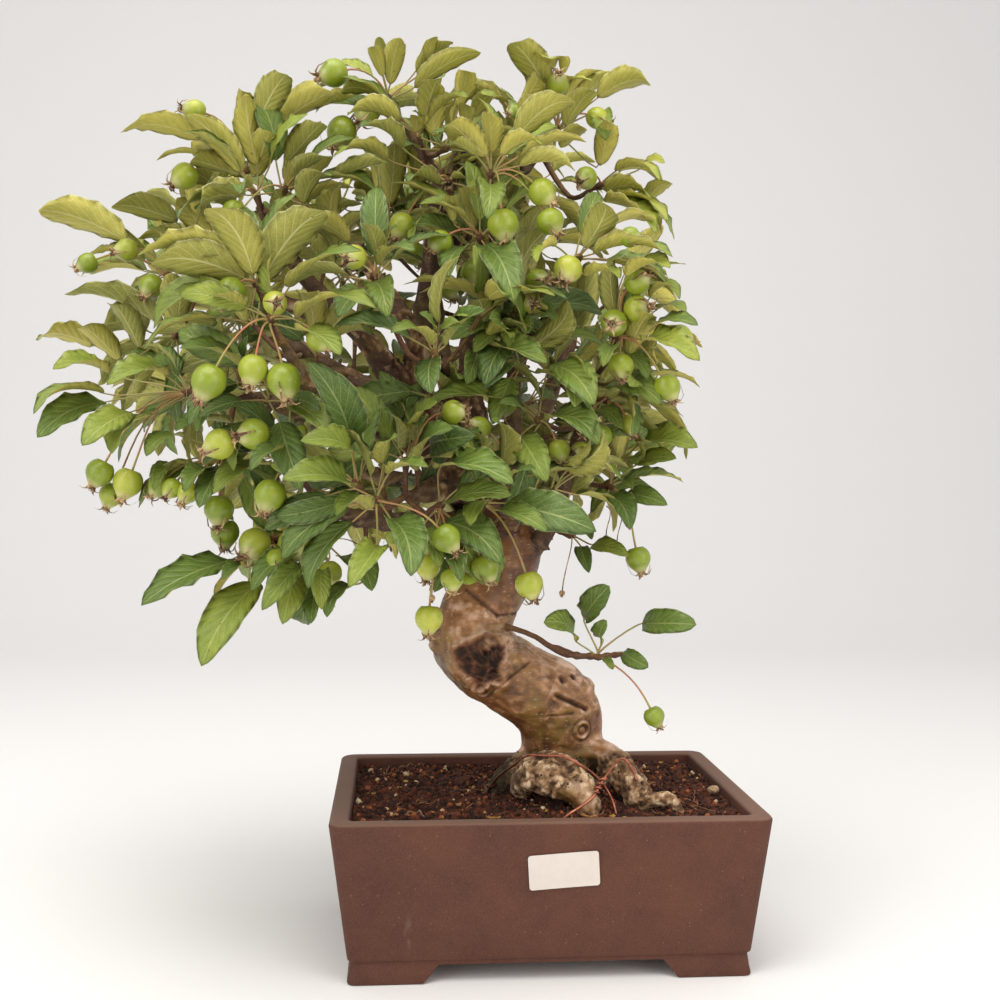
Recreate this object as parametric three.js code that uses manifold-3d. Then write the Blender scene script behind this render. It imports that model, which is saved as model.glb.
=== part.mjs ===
// A Hall crabapple bonsai in green fruit, grown on an S-shaped trunk in a tapered stoneware pot.
// Millimetres, +Z up. The tree's front faces -Y. The origin is the middle of the whole object's
// bounding box, on the surface that the pot's four feet stand on.
//
// The tree was measured from one spot in front of it. A place in the crown is written as it is seen
// from there: [u, v, y], its column and row in a view of 1000 by 1000 steps, and its real depth y
// behind (+) or in front of (-) the pot's middle. seen() turns that into real millimetres.
import * as THREE from "three";
import { mergeVertices } from "three/addons/utils/BufferGeometryUtils.js";
import Module from "manifold-3d";

const wasm = await Module();
wasm.setup();

// Pot and soil
const potWidth = 260;
const potDepth = 190;
const potHeight = 96;
const potTaper = 11; // how far the foot of each wall lies inside the rim
const potCorner = 10;
const wallThickness = 12;
const floorThickness = 9;
const footHeight = 14;
const footLength = 44;
const footWidth = 30;
const footSlope = 9; // how far the end of a foot leans in
const edgeRound = 2; // on both edges of the rim
const cornerSteps = 3;
const apronHeight = 3.5; // what is left of the foot ring between two feet
const drainRadius = 9;
const drainPlaces = [-60, 60];
const screenSize = 32;
const screenThickness = 1;
const clearance = 0.3; // between two pieces that touch
const soilDrop = 5; // from the rim to the soil at the walls
const soilMound = 7; // how much higher the soil stands round the trunk
const moundPlace = [15, -18];
const moundSpread = 55;
const pebbleSize = 7.5;
const pebblePlace = [112.3, -15];

// Paper tag on the pot's front
const tagWidth = 41;
const tagHeight = 21;
const tagThickness = 0.5;
const tagTilt = -0.07; // right end up
const tagPlace = [5.5, 67.5]; // x and z of its middle

// Viewpoint of the measurements
const eye = new THREE.Vector3(-91.8, -814.8, 292.8);
const viewYaw = 0.0813;
const viewPitch = -0.0167;
const viewRoll = 0.0063;
const viewReach = 1270.6; // steps of the view per unit of tangent
const viewMiddle = 500;

// Leaves, fruit and twigs
const leafSlimness = 0.26; // half of the blade's width over its length
const leafThickness = 1.2; // at the midrib
const leafArch = 0.1; // rise of the midrib over the blade's length
const stalkRadius = 0.75;
const stalkCorners = [30, 150, 270]; // degrees round a leaf's stalk
const leastTurn = 0.4; // sine of the angle between a stalk and its blade's face
const bladeStations = [[0.34, 1], [0.72, 0.78]]; // shares of its length and half-width
const smallBladeStations = [[0.45, 1]];
const twigRadii = [1.9, 1.7, 1.6, 2.9]; // it ends in a knobby spur
const spurLength = 6;
const twigBows = [[-0.08, 0], [0.1, 0], [0, 0.14], [0, -0.14], [0.2, 0.1], [-0.2, -0.1], [0.3, 0],
  [-0.3, 0]]; // shares of its length, up and across
const fruitSides = 5;
const fruitProfile = [[-0.46, 0.9], [0.44, 0.94]]; // shares of its radius, along and out
const fruitNeck = 1.28; // how far its calyx end reaches, in radii
const fruitForward = -12; // a fruit hangs in front of its spur
const bladeForward = -3; // and a blade a little
const leanShare = 0.75; // the most of a written blade's length that may go into its depth
const leastSeenWidth = 0.2; // of a written blade's real length, when it points at the viewer
const leafGap = 0.7; // least space between two pieces of different sprays
const leastEdge = 0.03; // slivers finer than this are smoothed away
const sharedStalk = 0.03; // cubic millimetres that two stalks of one spray may share outside the spur
const shiftSteps = [0, -5, 5, -10, 10, -16, 16, -24, 24, -32, 32];
const wireRadius = 0.8;
const wireSides = 6;
const wireStretch = 2; // steps of a wire between two of its written places

// Trunk, from the root collar to the first fork: [u, v, y, radius]
const trunkLine = [
  [563, 806, 2, 27], [563, 780, 1, 29], [563, 758, 0, 27.5], [562, 738, -1, 26.5], [559, 714, -4, 27.5],
  [544, 695, -8, 26.5], [512, 678, -12, 24.8], [486, 661, -14, 24.6], [472, 640, -14, 26.2],
  [476, 614, -10, 24.2], [488, 590, -6, 23.2], [500, 566, -3, 23.4], [507, 546, -2, 22], [500, 520, -2, 17],
];

// Branches in the same way. The first point of each lies inside the wood that it leaves.
const branchLines = {
  cutLimb: [[504, 540, -2, 19], [470, 490, 2, 17], [432, 436, 6, 16], [404, 396, 8, 16],
    [391, 376, 8, 14.5]],
  leader: [[412, 410, 6, 9], [420, 345, 4, 7.6], [427, 290, 2, 6.5], [434, 235, 0, 5.5],
    [436, 190, -2, 4.6], [424, 155, -6, 3.8], [402, 122, -10, 2.4]],
  middle: [[470, 490, 0, 9], [478, 430, -14, 6.8], [467, 352, -24, 5.2], [478, 308, -30, 4.4],
    [492, 272, -36, 2.4]],
  rightUp: [[500, 540, 0, 10], [516, 478, -10, 7], [512, 405, -14, 5.6], [520, 358, -20, 4.6],
    [534, 330, -28, 2.4]],
  right: [[512, 556, -6, 10], [534, 546, -12, 7.2], [549, 527, -18, 5.8], [566, 480, -24, 5],
    [580, 432, -28, 4.2], [596, 376, -34, 2.4]],
  lowLeft: [[492, 530, -6, 10], [448, 524, -28, 7.2], [400, 522, -50, 6], [352, 517, -66, 5],
    [322, 502, -78, 2.4]],
  midLeft: [[440, 446, 2, 11], [382, 428, -26, 7.5], [324, 421, -46, 6], [272, 402, -58, 4.8],
    [224, 392, -62, 2.4]],
  highLeft: [[404, 392, 4, 9], [364, 338, -10, 6.2], [318, 292, -22, 5], [282, 246, -28, 4],
    [260, 206, -30, 2.4]],
  farLeft: [[340, 318, -14, 6], [284, 304, 6, 4.8], [232, 292, 12, 3.9], [192, 282, 12, 2.4]],
  highRight: [[430, 282, 2, 6], [472, 228, 16, 4.6], [512, 186, 22, 3.8], [540, 152, 16, 2.4]],
  frontLeft: [[330, 422, -44, 6], [306, 384, -84, 4.8], [284, 344, -106, 2.4]],
  frontLow: [[470, 490, -4, 8], [436, 492, -46, 6], [404, 497, -84, 2.4]],
  frontMiddle: [[474, 410, -16, 6], [452, 380, -50, 4.6], [442, 364, -74, 2.4]],
  frontRight: [[508, 530, -8, 8], [510, 512, -40, 5.4], [498, 504, -68, 2.4]],
  backRight: [[504, 520, 6, 10], [532, 440, 46, 7], [560, 370, 78, 5.4], [584, 300, 96, 2.4]],
  backMiddle: [[458, 470, 10, 10], [450, 400, 50, 7], [440, 330, 82, 5.4], [432, 258, 100, 2.4]],
  backLeft: [[424, 424, 12, 10], [366, 388, 50, 7], [300, 350, 80, 5.4], [240, 316, 94, 2.4]],
  backLow: [[478, 500, 8, 10], [424, 486, 46, 6.6], [348, 468, 78, 5.2], [280, 452, 94, 2.4]],
  backTop: [[420, 344, 8, 7], [372, 272, 46, 5], [330, 210, 68, 2.4]],
  backCrown: [[434, 240, 4, 6], [452, 180, 38, 4.4], [462, 130, 56, 2.4]],
};

// Roots: the last point of each is buried.
const rootLines = {
  archRoot: [[538, 790, -10, 9], [522, 776, -30, 7.5], [540, 766, -42, 9], [563, 770, -50, 9.5],
    [579, 787, -58, 9], [587, 808, -64, 8.2], [589, 838, -68, 7]],
  rightRoot: [[584, 748, -8, 13], [607, 757, -26, 9], [626, 774, -38, 8.6], [638, 794, -46, 8],
    [643, 832, -50, 6]],
  smallRoot: [[634, 802, -46, 6], [652, 800, -54, 4.6], [670, 799, -58, 4], [686, 824, -62, 3]],
  leftRoot: [[546, 758, 0, 15], [520, 768, -6, 10], [500, 786, -10, 8], [482, 814, -14, 6]],
  backLeftRoot: [[548, 762, 8, 14], [528, 768, 34, 10], [514, 780, 52, 8], [504, 806, 62, 6]],
  backRightRoot: [[580, 756, 8, 15], [606, 764, 32, 10], [622, 778, 50, 8], [634, 806, 60, 6]],
};

// Copper tie wires, as seen: they lie on the roots, and both ends go down into the soil.
const wireViews = {
  wire_over_roots: [[482, 812, -14], [487, 792, -16], [500, 774, -22], [521, 763, -36], [540, 757, -48],
    [556, 755, -56], [568, 758, -60], [581, 765, -58], [595, 775, -52], [604, 785, -52], [611, 797, -56],
    [615, 808, -60], [618, 830, -62]],
  wire_across_roots: [[637, 780, -54], [631, 766, -50], [622, 757, -46], [613, 766, -56], [605, 777, -64],
    [599, 787, -68], [591, 799, -70], [577, 809, -76], [561, 820, -78], [553, 838, -78]],
};

// Leafy sprays that show from the front. hub: where the leaf stalks meet.
// face: how far the blades' tops turn to the viewer; where it is below 0, their undersides show.
// leaves: [u and v of the blade's foot, u and v of its tip, length]
// fruit: [u, v, diameter]
const frontSprays = {
  leader_tip: {
    hub: [387, 97, -14],
    face: -0.7,
    leaves: [[390, 85, 400, 38, 44], [383, 77, 371, 46, 32], [414, 88, 481, 52, 50],
      [417, 69, 453, 37, 40], [376, 92, 341, 92, 28], [356, 101, 316, 112, 34]],
    fruit: [[334, 73, 17.5], [367, 111, 17], [342, 131, 19]],
  },
  crown_middle: {
    hub: [446, 148, -22],
    face: -0.6,
    leaves: [[436, 137, 438, 82, 46], [459, 107, 467, 69, 44], [474, 117, 490, 96, 34],
      [466, 128, 463, 103, 32], [415, 133, 413, 115, 28]],
    fruit: [],
  },
  crown_right: {
    hub: [491, 174, -68],
    face: -0.5,
    leaves: [[487, 157, 448, 124, 46], [491, 153, 487, 112, 42], [516, 139, 574, 101, 52],
      [500, 155, 542, 144, 36], [519, 166, 575, 171, 42], [476, 155, 448, 146, 32],
      [490, 184, 487, 217, 44]],
    fruit: [[503, 224, 18.5], [542, 192, 16.5], [550, 221, 16.2]],
  },
  high_right: {
    hub: [557, 130, -16],
    face: -0.8,
    leaves: [[549, 93, 510, 43, 56], [566, 127, 595, 90, 48], [597, 98, 651, 84, 50],
      [600, 166, 608, 121, 44], [552, 158, 536, 121, 44], [561, 148, 585, 127, 34]],
    fruit: [[558, 84, 14], [597, 118, 14]],
  },
  far_right: {
    hub: [600, 186, -22],
    face: -0.4,
    leaves: [[604, 190, 650, 199, 44], [615, 171, 660, 179, 44], [644, 203, 672, 182, 38],
      [604, 202, 657, 232, 56], [614, 198, 668, 221, 50]],
    fruit: [[586, 178, 14.5]],
  },
  right_shoulder: {
    hub: [578, 258, -80],
    face: -0.4,
    leaves: [[584, 248, 606, 203, 50], [593, 254, 673, 257, 60], [584, 276, 620, 278, 40],
      [556, 246, 536, 262, 38]],
    fruit: [[568, 269, 16.5]],
  },
  right_cluster: {
    hub: [616, 337, -72],
    face: 0.6,
    leaves: [[643, 340, 700, 361, 56], [650, 329, 698, 325, 48], [656, 310, 686, 312, 32],
      [650, 297, 680, 289, 32], [612, 345, 603, 366, 34], [624, 350, 648, 379, 34],
      [626, 277, 670, 267, 44]],
    fruit: [[614, 323, 16], [637, 309, 15.8], [637, 282, 16], [680, 336, 13.5], [621, 366, 15.5],
      [667, 387, 16]],
  },
  right_middle: {
    hub: [606, 400, -46],
    face: 0.5,
    leaves: [[606, 386, 661, 403, 56], [612, 402, 638, 401, 32], [598, 410, 622, 428, 34]],
    fruit: [[629, 425, 13]],
  },
  right_inner: {
    hub: [538, 420, -66],
    face: 0.8,
    leaves: [[551, 364, 594, 403, 54], [546, 419, 600, 444, 54], [520, 435, 547, 482, 50],
      [528, 417, 500, 402, 32]],
    fruit: [[559, 450, 13]],
  },
  low_right: {
    hub: [610, 487, -42],
    face: 0.9,
    leaves: [[614, 469, 621, 437, 42], [637, 464, 676, 458, 42], [640, 443, 698, 448, 56],
      [626, 493, 667, 504, 40], [606, 496, 630, 529, 48]],
    fruit: [[638, 558, 15.5]],
  },
  low_right_twig: {
    hub: [571, 535, -26],
    face: 0.6,
    leaves: [[581, 546, 589, 572, 28], [592, 545, 629, 556, 38]],
    fruit: [],
  },
  front_low: {
    hub: [376, 500, -116],
    face: 1.1,
    leaves: [[388, 474, 428, 468, 42], [383, 463, 396, 436, 36], [390, 518, 411, 576, 60],
      [372, 508, 336, 516, 40], [377, 545, 349, 587, 56], [350, 486, 283, 478, 58]],
    fruit: [[446, 538, 15.5]],
  },
  dark_leaf: {
    hub: [356, 484, -108],
    face: 1.6,
    leaves: [[351, 446, 309, 362, 62], [366, 459, 388, 453, 30], [352, 452, 300, 441, 48]],
    fruit: [],
  },
  low_middle: {
    hub: [440, 506, -92],
    face: 0.9,
    leaves: [[438, 467, 514, 484, 62], [446, 502, 512, 496, 54], [441, 522, 501, 562, 56],
      [441, 541, 461, 580, 44], [422, 528, 440, 566, 40]],
    fruit: [[428, 566, 14.5], [429, 618, 16], [485, 567, 16]],
  },
  low_middle_right: {
    hub: [484, 504, -96],
    face: 0.9,
    leaves: [[507, 503, 596, 530, 60], [496, 510, 548, 533, 44], [485, 500, 470, 525, 36],
      [498, 494, 536, 470, 42]],
    fruit: [[529, 584, 16.3]],
  },
  centre_low: {
    hub: [503, 478, -70],
    face: 1,
    leaves: [[503, 468, 493, 419, 50], [482, 456, 472, 431, 32], [474, 454, 452, 417, 38]],
    fruit: [[479, 428, 14]],
  },
  centre_left: {
    hub: [406, 462, -90],
    face: 1.2,
    leaves: [[410, 442, 437, 402, 46], [419, 470, 454, 429, 56], [398, 448, 384, 410, 42]],
    fruit: [[453, 412, 14]],
  },
  heart_leaf: {
    hub: [434, 353, -98],
    face: 1.2,
    leaves: [[433, 357, 431, 394, 38], [430, 345, 391, 332, 40], [437, 337, 461, 326, 28],
      [450, 326, 472, 315, 32], [434, 336, 419, 313, 28], [446, 346, 485, 310, 44]],
    fruit: [],
  },
  centre_right: {
    hub: [512, 318, -56],
    face: 0.8,
    leaves: [[514, 324, 509, 348, 36], [524, 314, 556, 320, 34], [508, 343, 485, 386, 50],
      [500, 330, 474, 352, 38]],
    fruit: [],
  },
  centre_top: {
    hub: [480, 238, -62],
    face: 0.7,
    leaves: [[484, 244, 514, 302, 56], [453, 222, 451, 196, 32], [466, 246, 448, 276, 40]],
    fruit: [[440, 242, 14.5]],
  },
  upper_middle: {
    hub: [448, 182, -40],
    face: -0.5,
    leaves: [[440, 184, 408, 182, 36], [452, 178, 472, 191, 32], [435, 218, 410, 241, 34],
      [402, 148, 358, 126, 50], [388, 160, 334, 155, 46]],
    fruit: [[402, 225, 15.5]],
  },
  upper_left: {
    hub: [374, 277, -84],
    face: 0.6,
    leaves: [[380, 265, 415, 251, 40], [377, 256, 363, 222, 34], [384, 252, 396, 226, 28],
      [374, 281, 388, 316, 42], [366, 288, 338, 318, 44]],
    fruit: [],
  },
  big_olive: {
    hub: [257, 284, -104],
    face: -0.8,
    leaves: [[233, 253, 138, 256, 62], [247, 279, 150, 262, 64], [253, 276, 206, 208, 62],
      [263, 281, 326, 212, 66], [245, 322, 210, 296, 38]],
    fruit: [[231, 292, 16.5]],
  },
  grey_leaves: {
    hub: [270, 320, -120],
    face: 0.8,
    leaves: [[297, 318, 376, 306, 58], [289, 287, 360, 248, 56], [300, 330, 340, 356, 44]],
    fruit: [[209, 381, 18.5], [253, 369, 16], [284, 380, 18.5], [275, 303, 13], [319, 339, 14]],
  },
  top_left: {
    hub: [246, 172, -30],
    face: -0.8,
    leaves: [[201, 139, 120, 133, 58], [238, 122, 242, 91, 36], [241, 175, 190, 160, 42],
      [255, 177, 270, 132, 48], [256, 128, 288, 73, 52], [264, 132, 334, 90, 60]],
    fruit: [[195, 111, 14], [185, 176, 16]],
  },
  left_shoulder: {
    hub: [284, 190, -50],
    face: -0.7,
    leaves: [[287, 161, 323, 123, 48], [294, 177, 331, 158, 42], [246, 195, 176, 217, 54],
      [303, 204, 331, 174, 46], [333, 179, 387, 161, 42], [350, 242, 308, 224, 44]],
    fruit: [[235, 220, 15]],
  },
  far_left: {
    hub: [168, 276, 4],
    face: -0.6,
    leaves: [[128, 242, 38, 211, 66], [178, 221, 112, 207, 54], [166, 331, 64, 294, 70],
      [186, 258, 148, 228, 44]],
    fruit: [[88, 263, 13], [127, 250, 14.5], [151, 286, 15.5]],
  },
  left_upper: {
    hub: [176, 336, -24],
    face: -0.3,
    leaves: [[172, 328, 171, 272, 44], [179, 322, 188, 284, 42], [140, 348, 110, 302, 50],
      [120, 360, 80, 325, 50], [96, 346, 38, 340, 52]],
    fruit: [[204, 335, 14.5]],
  },
  left_tip: {
    hub: [186, 393, -62],
    face: 0.4,
    leaves: [[167, 375, 107, 383, 56], [108, 373, 53, 368, 50], [104, 393, 33, 412, 54],
      [106, 402, 37, 438, 58], [131, 412, 82, 446, 50], [150, 415, 112, 453, 48], [230, 423, 176, 432, 52]],
    fruit: [[100, 472, 16], [128, 482, 17.5], [112, 494, 15]],
  },
  left_low: {
    hub: [222, 460, -66],
    face: 0.8,
    leaves: [[221, 465, 199, 507, 46], [207, 468, 184, 491, 42], [174, 463, 154, 490, 34],
      [182, 436, 146, 455, 42], [268, 464, 213, 493, 54]],
    fruit: [[161, 485, 14], [188, 492, 13], [219, 509, 17], [225, 532, 16.5]],
  },
  left_fruit: {
    hub: [290, 458, -104],
    face: 1,
    leaves: [[292, 400, 320, 410, 30], [284, 450, 250, 470, 36], [276, 440, 236, 404, 44]],
    fruit: [[220, 444, 17], [254, 434, 17.5], [270, 495, 17.5]],
  },
  low_left: {
    hub: [270, 540, -70],
    face: 1.1,
    leaves: [[231, 560, 141, 605, 66], [260, 582, 201, 666, 68], [246, 568, 222, 580, 34]],
    fruit: [[255, 544, 19], [294, 545, 19]],
  },
  low_left_inner: {
    hub: [322, 546, -74],
    face: 1.1,
    leaves: [[298, 571, 283, 623, 46], [319, 582, 311, 624, 38], [340, 556, 372, 592, 46]],
    fruit: [[330, 573, 14]],
  },
};

// The young shoot low on the trunk's right: its own line, leaves and fruit.
const sideShootLine = [
  [486, 634, -18, 2.4], [514, 635, -28, 2.3], [540, 638, -37, 2], [563, 652, -42, 2.4],
  [590, 657, -46, 2.2], [612, 656, -48, 1.9], [632, 651, -50, 1.6],
];
const sideShoot = {
  hub: [600, 657, -47],
  face: 0.7,
  leaves: [[583, 618, 609, 586, 38], [575, 640, 543, 623, 34], [603, 639, 606, 621, 30],
    [642, 623, 695, 624, 50], [623, 652, 648, 667, 30], [604, 658, 613, 669, 18]],
  fruit: [[654, 716, 13]],
};

// The crown's outline as seen. Nothing that is placed by rule shows outside it.
const crownOutline = [[372, 30], [440, 22], [490, 40], [545, 38], [600, 66], [660, 78], [648, 120],
  [680, 165], [670, 220], [692, 275], [712, 362], [690, 420], [698, 452], [672, 512], [645, 530],
  [590, 545], [545, 600], [500, 585], [440, 600], [400, 585], [330, 625], [205, 672], [140, 610],
  [190, 545], [110, 515], [80, 470], [30, 442], [28, 335], [62, 290], [34, 206], [110, 190], [118, 126],
  [180, 95], [250, 72], [320, 58]];

// The crown as a rounded body, for the sprays at its back, which are placed by rule.
const crownPlace = [-104, 0, 385];
const crownRadii = [200, 160, 185];
const backSprays = 14;
const backShare = 0.74; // how far out their spurs lie
const backLift = [-0.6, 0.86]; // the sine of their elevation, lowest and highest
const leavesOnBackSpray = 6;
// Sprays deep in the crown's back, where that rule leaves it open: the place of each spur, [x, y, z].
const deepSprays = {
  low_behind: [-135, 88, 285],
  right_behind: [50, 100, 395],
  high_behind: [-50, 104, 450],
};
const leavesOnDeepSpray = 11;

// What the rule draws for a leaf or a fruit, each as [least, most]
const leafLengths = [36, 54];
const smallLeaf = 53; // a shorter blade is plainer
const leafStalks = [12, 20];
const leafSpreads = [0.7, 1.4]; // angle between a stalk and its twig
const leafOutward = 0.35; // pull away from the crown's middle
const leafRises = [0.1, 0.4];
const leafDroops = [0.2, 0.7];
const turnSlack = 1.2;
const fruitReaches = [14, 22];
const fruitDrops = [18, 28];
const fruitOutward = 10;
const fruitRadii = [7, 8.5];
const hangShares = [0.6, 0.4]; // how far a fruit points on from its stalk, and straight down

const up = new THREE.Vector3(0, 0, 1);
const goldenShare = (Math.sqrt(5) - 1) / 2;
const goldenAngle = 2 * Math.PI * (1 - goldenShare);

// A repeatable stream of numbers from 0 to 1.
function draws(seed) {
  let state = seed >>> 0;
  return () => {
    state = (state + 0x6d2b79f5) >>> 0;
    let t = state;
    t = Math.imul(t ^ (t >>> 15), t | 1);
    t ^= t + Math.imul(t ^ (t >>> 7), t | 61);
    return ((t ^ (t >>> 14)) >>> 0) / 4294967296;
  };
}

// The view's own directions: to the right, ahead and above.
const toRight = new THREE.Vector3(Math.cos(viewYaw), -Math.sin(viewYaw), 0);
const ahead = new THREE.Vector3(Math.sin(viewYaw), Math.cos(viewYaw), 0)
  .multiplyScalar(Math.cos(viewPitch))
  .addScaledVector(up, Math.sin(viewPitch));
const above = new THREE.Vector3().crossVectors(toRight, ahead);

// The real place of the view's point (u, v) at depth y.
function seen(u, v, y) {
  const across = Math.cos(viewRoll) * (u - viewMiddle) + Math.sin(viewRoll) * (v - viewMiddle);
  const down = Math.cos(viewRoll) * (v - viewMiddle) - Math.sin(viewRoll) * (u - viewMiddle);
  const ray = ahead.clone()
    .addScaledVector(toRight, across / viewReach)
    .addScaledVector(above, -down / viewReach);
  return eye.clone().addScaledVector(ray, (y - eye.y) / ray.y);
}

// Where a real place is seen, as [u, v].
function viewOf(place) {
  const ray = place.clone().sub(eye);
  const across = (viewReach * ray.dot(toRight)) / ray.dot(ahead);
  const down = (-viewReach * ray.dot(above)) / ray.dot(ahead);
  return [
    viewMiddle + Math.cos(viewRoll) * across - Math.sin(viewRoll) * down,
    viewMiddle + Math.sin(viewRoll) * across + Math.cos(viewRoll) * down,
  ];
}

// Whether a real place is seen inside the crown's outline.
function showsInCrown(place) {
  const [u, v] = viewOf(place);
  return crownOutline.reduce((inside, [u1, v1], i) => {
    const [u2, v2] = crownOutline[(i + 1) % crownOutline.length];
    const crosses = v1 > v !== v2 > v && u < u1 + ((v - v1) * (u2 - u1)) / (v2 - v1);
    return crosses ? !inside : inside;
  }, false);
}

const within = ([least, most], share) => least + (most - least) * share;

// A closed solid through rings of points; a ring of one point is a tip.
function loft(rings) {
  const points = rings.flat();
  const starts = [];
  rings.reduce((sum, ring) => (starts.push(sum), sum + ring.length), 0);
  const faces = [];
  rings.slice(1).forEach((ring, i) => {
    const a = starts[i];
    const b = starts[i + 1];
    const sides = Math.max(rings[i].length, ring.length);
    for (let k = 0; k < sides; k++) {
      const next = (k + 1) % sides;
      if (rings[i].length > 1 && ring.length > 1) {
        faces.push([a + k, a + next, b + next], [a + k, b + next, b + k]);
      } else if (ring.length > 1) {
        faces.push([a, b + next, b + k]);
      } else {
        faces.push([a + k, a + next, b]);
      }
    }
  });
  const last = starts[rings.length - 1];
  for (let k = 1; k + 1 < rings[0].length; k++) faces.push([0, k + 1, k]);
  for (let k = 1; k + 1 < rings.at(-1).length; k++) faces.push([last, last + k, last + k + 1]);
  return solidOf(points, faces);
}

function solidOf(points, faces) {
  const signed = faces.reduce((sum, [a, b, c]) => {
    return sum + points[a].dot(new THREE.Vector3().crossVectors(points[b], points[c]));
  }, 0);
  const turned = signed < 0 ? faces.map(([a, b, c]) => [a, c, b]) : faces;
  return new wasm.Manifold(new wasm.Mesh({
    numProp: 3,
    vertProperties: new Float32Array(points.flatMap((p) => [p.x, p.y, p.z])),
    triVerts: new Uint32Array(turned.flat()),
  }));
}

function meshOf(name, solid, material) {
  const { vertProperties, triVerts, numProp } = solid.getMesh();
  const geometry = new THREE.BufferGeometry();
  const positions = new Float32Array((vertProperties.length / numProp) * 3);
  for (let i = 0; i * numProp < vertProperties.length; i++) {
    positions.set(vertProperties.subarray(i * numProp, i * numProp + 3), i * 3);
  }
  geometry.setAttribute("position", new THREE.BufferAttribute(positions, 3));
  geometry.setIndex(new THREE.BufferAttribute(triVerts, 1));
  const mesh = new THREE.Mesh(geometry, material);
  mesh.name = name;
  return mesh;
}

function biggestPiece(solid) {
  return solid.decompose().sort((a, b) => b.volume() - a.volume())[0];
}

// Rings of a tube along points, each turned as little as possible from the one before.
function tubeRings(points, radii, sides) {
  let across = null;
  return points.map((point, i) => {
    const next = points[Math.min(i + 1, points.length - 1)];
    const along = next.clone().sub(points[Math.max(i - 1, 0)]).normalize();
    if (!across) across = Math.abs(along.z) > 0.9 ? new THREE.Vector3(1, 0, 0) : up.clone();
    across.addScaledVector(along, -across.dot(along)).normalize();
    const other = new THREE.Vector3().crossVectors(along, across);
    return Array.from({ length: sides }, (_, k) => {
      const angle = (2 * Math.PI * k) / sides;
      return point.clone()
        .addScaledVector(across, radii[i] * Math.cos(angle))
        .addScaledVector(other, radii[i] * Math.sin(angle));
    });
  });
}

const tube = (points, radii, sides) => loft(tubeRings(points, radii, sides));

// A woody line as [points, radii], from its view places.
function woodLine(line) {
  return [line.map(([u, v, y]) => seen(u, v, y)), line.map((row) => row[3])];
}

// The wood as one solid, grown by a margin on every side.
function woodSolid(margin) {
  const grown = (line, sides) => {
    const [points, radii] = woodLine(line);
    return tube(points, radii.map((r) => r + margin), sides);
  };
  return wasm.Manifold.union([
    grown(trunkLine, 10),
    ...Object.values(rootLines).map((line) => grown(line, 6)),
    ...Object.values(branchLines).map((line) => grown(line, 5)),
  ]);
}

// Nearest point to a place on the centre lines of the branches.
function nearestWood(place) {
  let best = { distance: Infinity };
  for (const line of Object.values(branchLines)) {
    const [points] = woodLine(line);
    for (let i = 1; i < points.length; i++) {
      const segment = new THREE.Line3(points[i - 1], points[i]);
      const point = segment.closestPointToPoint(place, true, new THREE.Vector3());
      const distance = point.distanceTo(place);
      if (distance < best.distance) best = { distance, point };
    }
  }
  return best.point;
}

// A leaf with its stalk: rings of three points, left, right and keel, at the stalk's root, the blade's
// foot and one or two stations on the blade, and then its tip. The stalk's rings are square to its way.
function leafSolid({ root, foot, tip, normal, halfWidth }) {
  const axis = tip.clone().sub(foot);
  const length = axis.length();
  axis.normalize();
  const side = new THREE.Vector3().crossVectors(axis, normal).normalize();
  const ring = (middle, reach, rise, keel) => [
    middle.clone().addScaledVector(side, reach).addScaledVector(normal, rise),
    middle.clone().addScaledVector(side, -reach).addScaledVector(normal, rise),
    middle.clone().addScaledVector(normal, -keel),
  ];
  const stalk = (middle, way) => {
    const across = new THREE.Vector3().crossVectors(way, normal);
    if (across.length() < leastTurn) across.copy(side);
    across.addScaledVector(way, -across.dot(way)).normalize();
    const over = new THREE.Vector3().crossVectors(across, way);
    return stalkCorners.map((degrees) => {
      const angle = THREE.MathUtils.degToRad(degrees);
      return middle.clone()
        .addScaledVector(across, stalkRadius * Math.cos(angle))
        .addScaledVector(over, stalkRadius * Math.sin(angle));
    });
  };
  const stations = length < smallLeaf ? smallBladeStations : bladeStations;
  const blade = stations.map(([share, width]) => {
    const middle = foot.clone().addScaledVector(axis, share * length)
      .addScaledVector(normal, 4 * leafArch * length * share * (1 - share));
    return ring(middle, halfWidth * width, 0, leafThickness);
  });
  const stalkWay = foot.clone().sub(root).normalize();
  const bend = stalkWay.clone().add(axis).normalize();
  return loft([stalk(root, stalkWay), stalk(foot, bend), ...blade, [tip]]);
}

// A fruit hanging from the end of its stalk, with its calyx away from the stalk.
function fruitSolid({ root, centre, axis, radius }) {
  const rings = fruitProfile.map(([along, reach]) => {
    const near = centre.clone().addScaledVector(axis, along * radius);
    const far = centre.clone().addScaledVector(axis, radius);
    return tubeRings([near, far], [reach * radius, 0], fruitSides)[0];
  });
  const body = loft([
    [centre.clone().addScaledVector(axis, -radius)],
    ...rings,
    [centre.clone().addScaledVector(axis, fruitNeck * radius)],
  ]);
  const end = centre.clone().addScaledVector(axis, -0.8 * radius);
  return body.add(tube([root, end], [stalkRadius, stalkRadius], 3));
}

const boxOf = (solid) => {
  const { min, max } = solid.boundingBox();
  return new THREE.Box3(new THREE.Vector3(...min), new THREE.Vector3(...max)).expandByScalar(leafGap / 2);
};

// Everything placed so far in the crown, so that no piece crosses another.
const placed = [];

function isClear(solid, spray) {
  const box = boxOf(solid);
  return placed.every((other) => {
    if (!other.box.intersectsBox(box)) return true;
    if (other.spray !== spray) return solid.minGap(other.solid, leafGap) >= leafGap;
    if (other.isTwig) return true;
    return solid.intersect(other.solid).subtract(spray.twigSolid).volume() < sharedStalk;
  });
}

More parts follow.
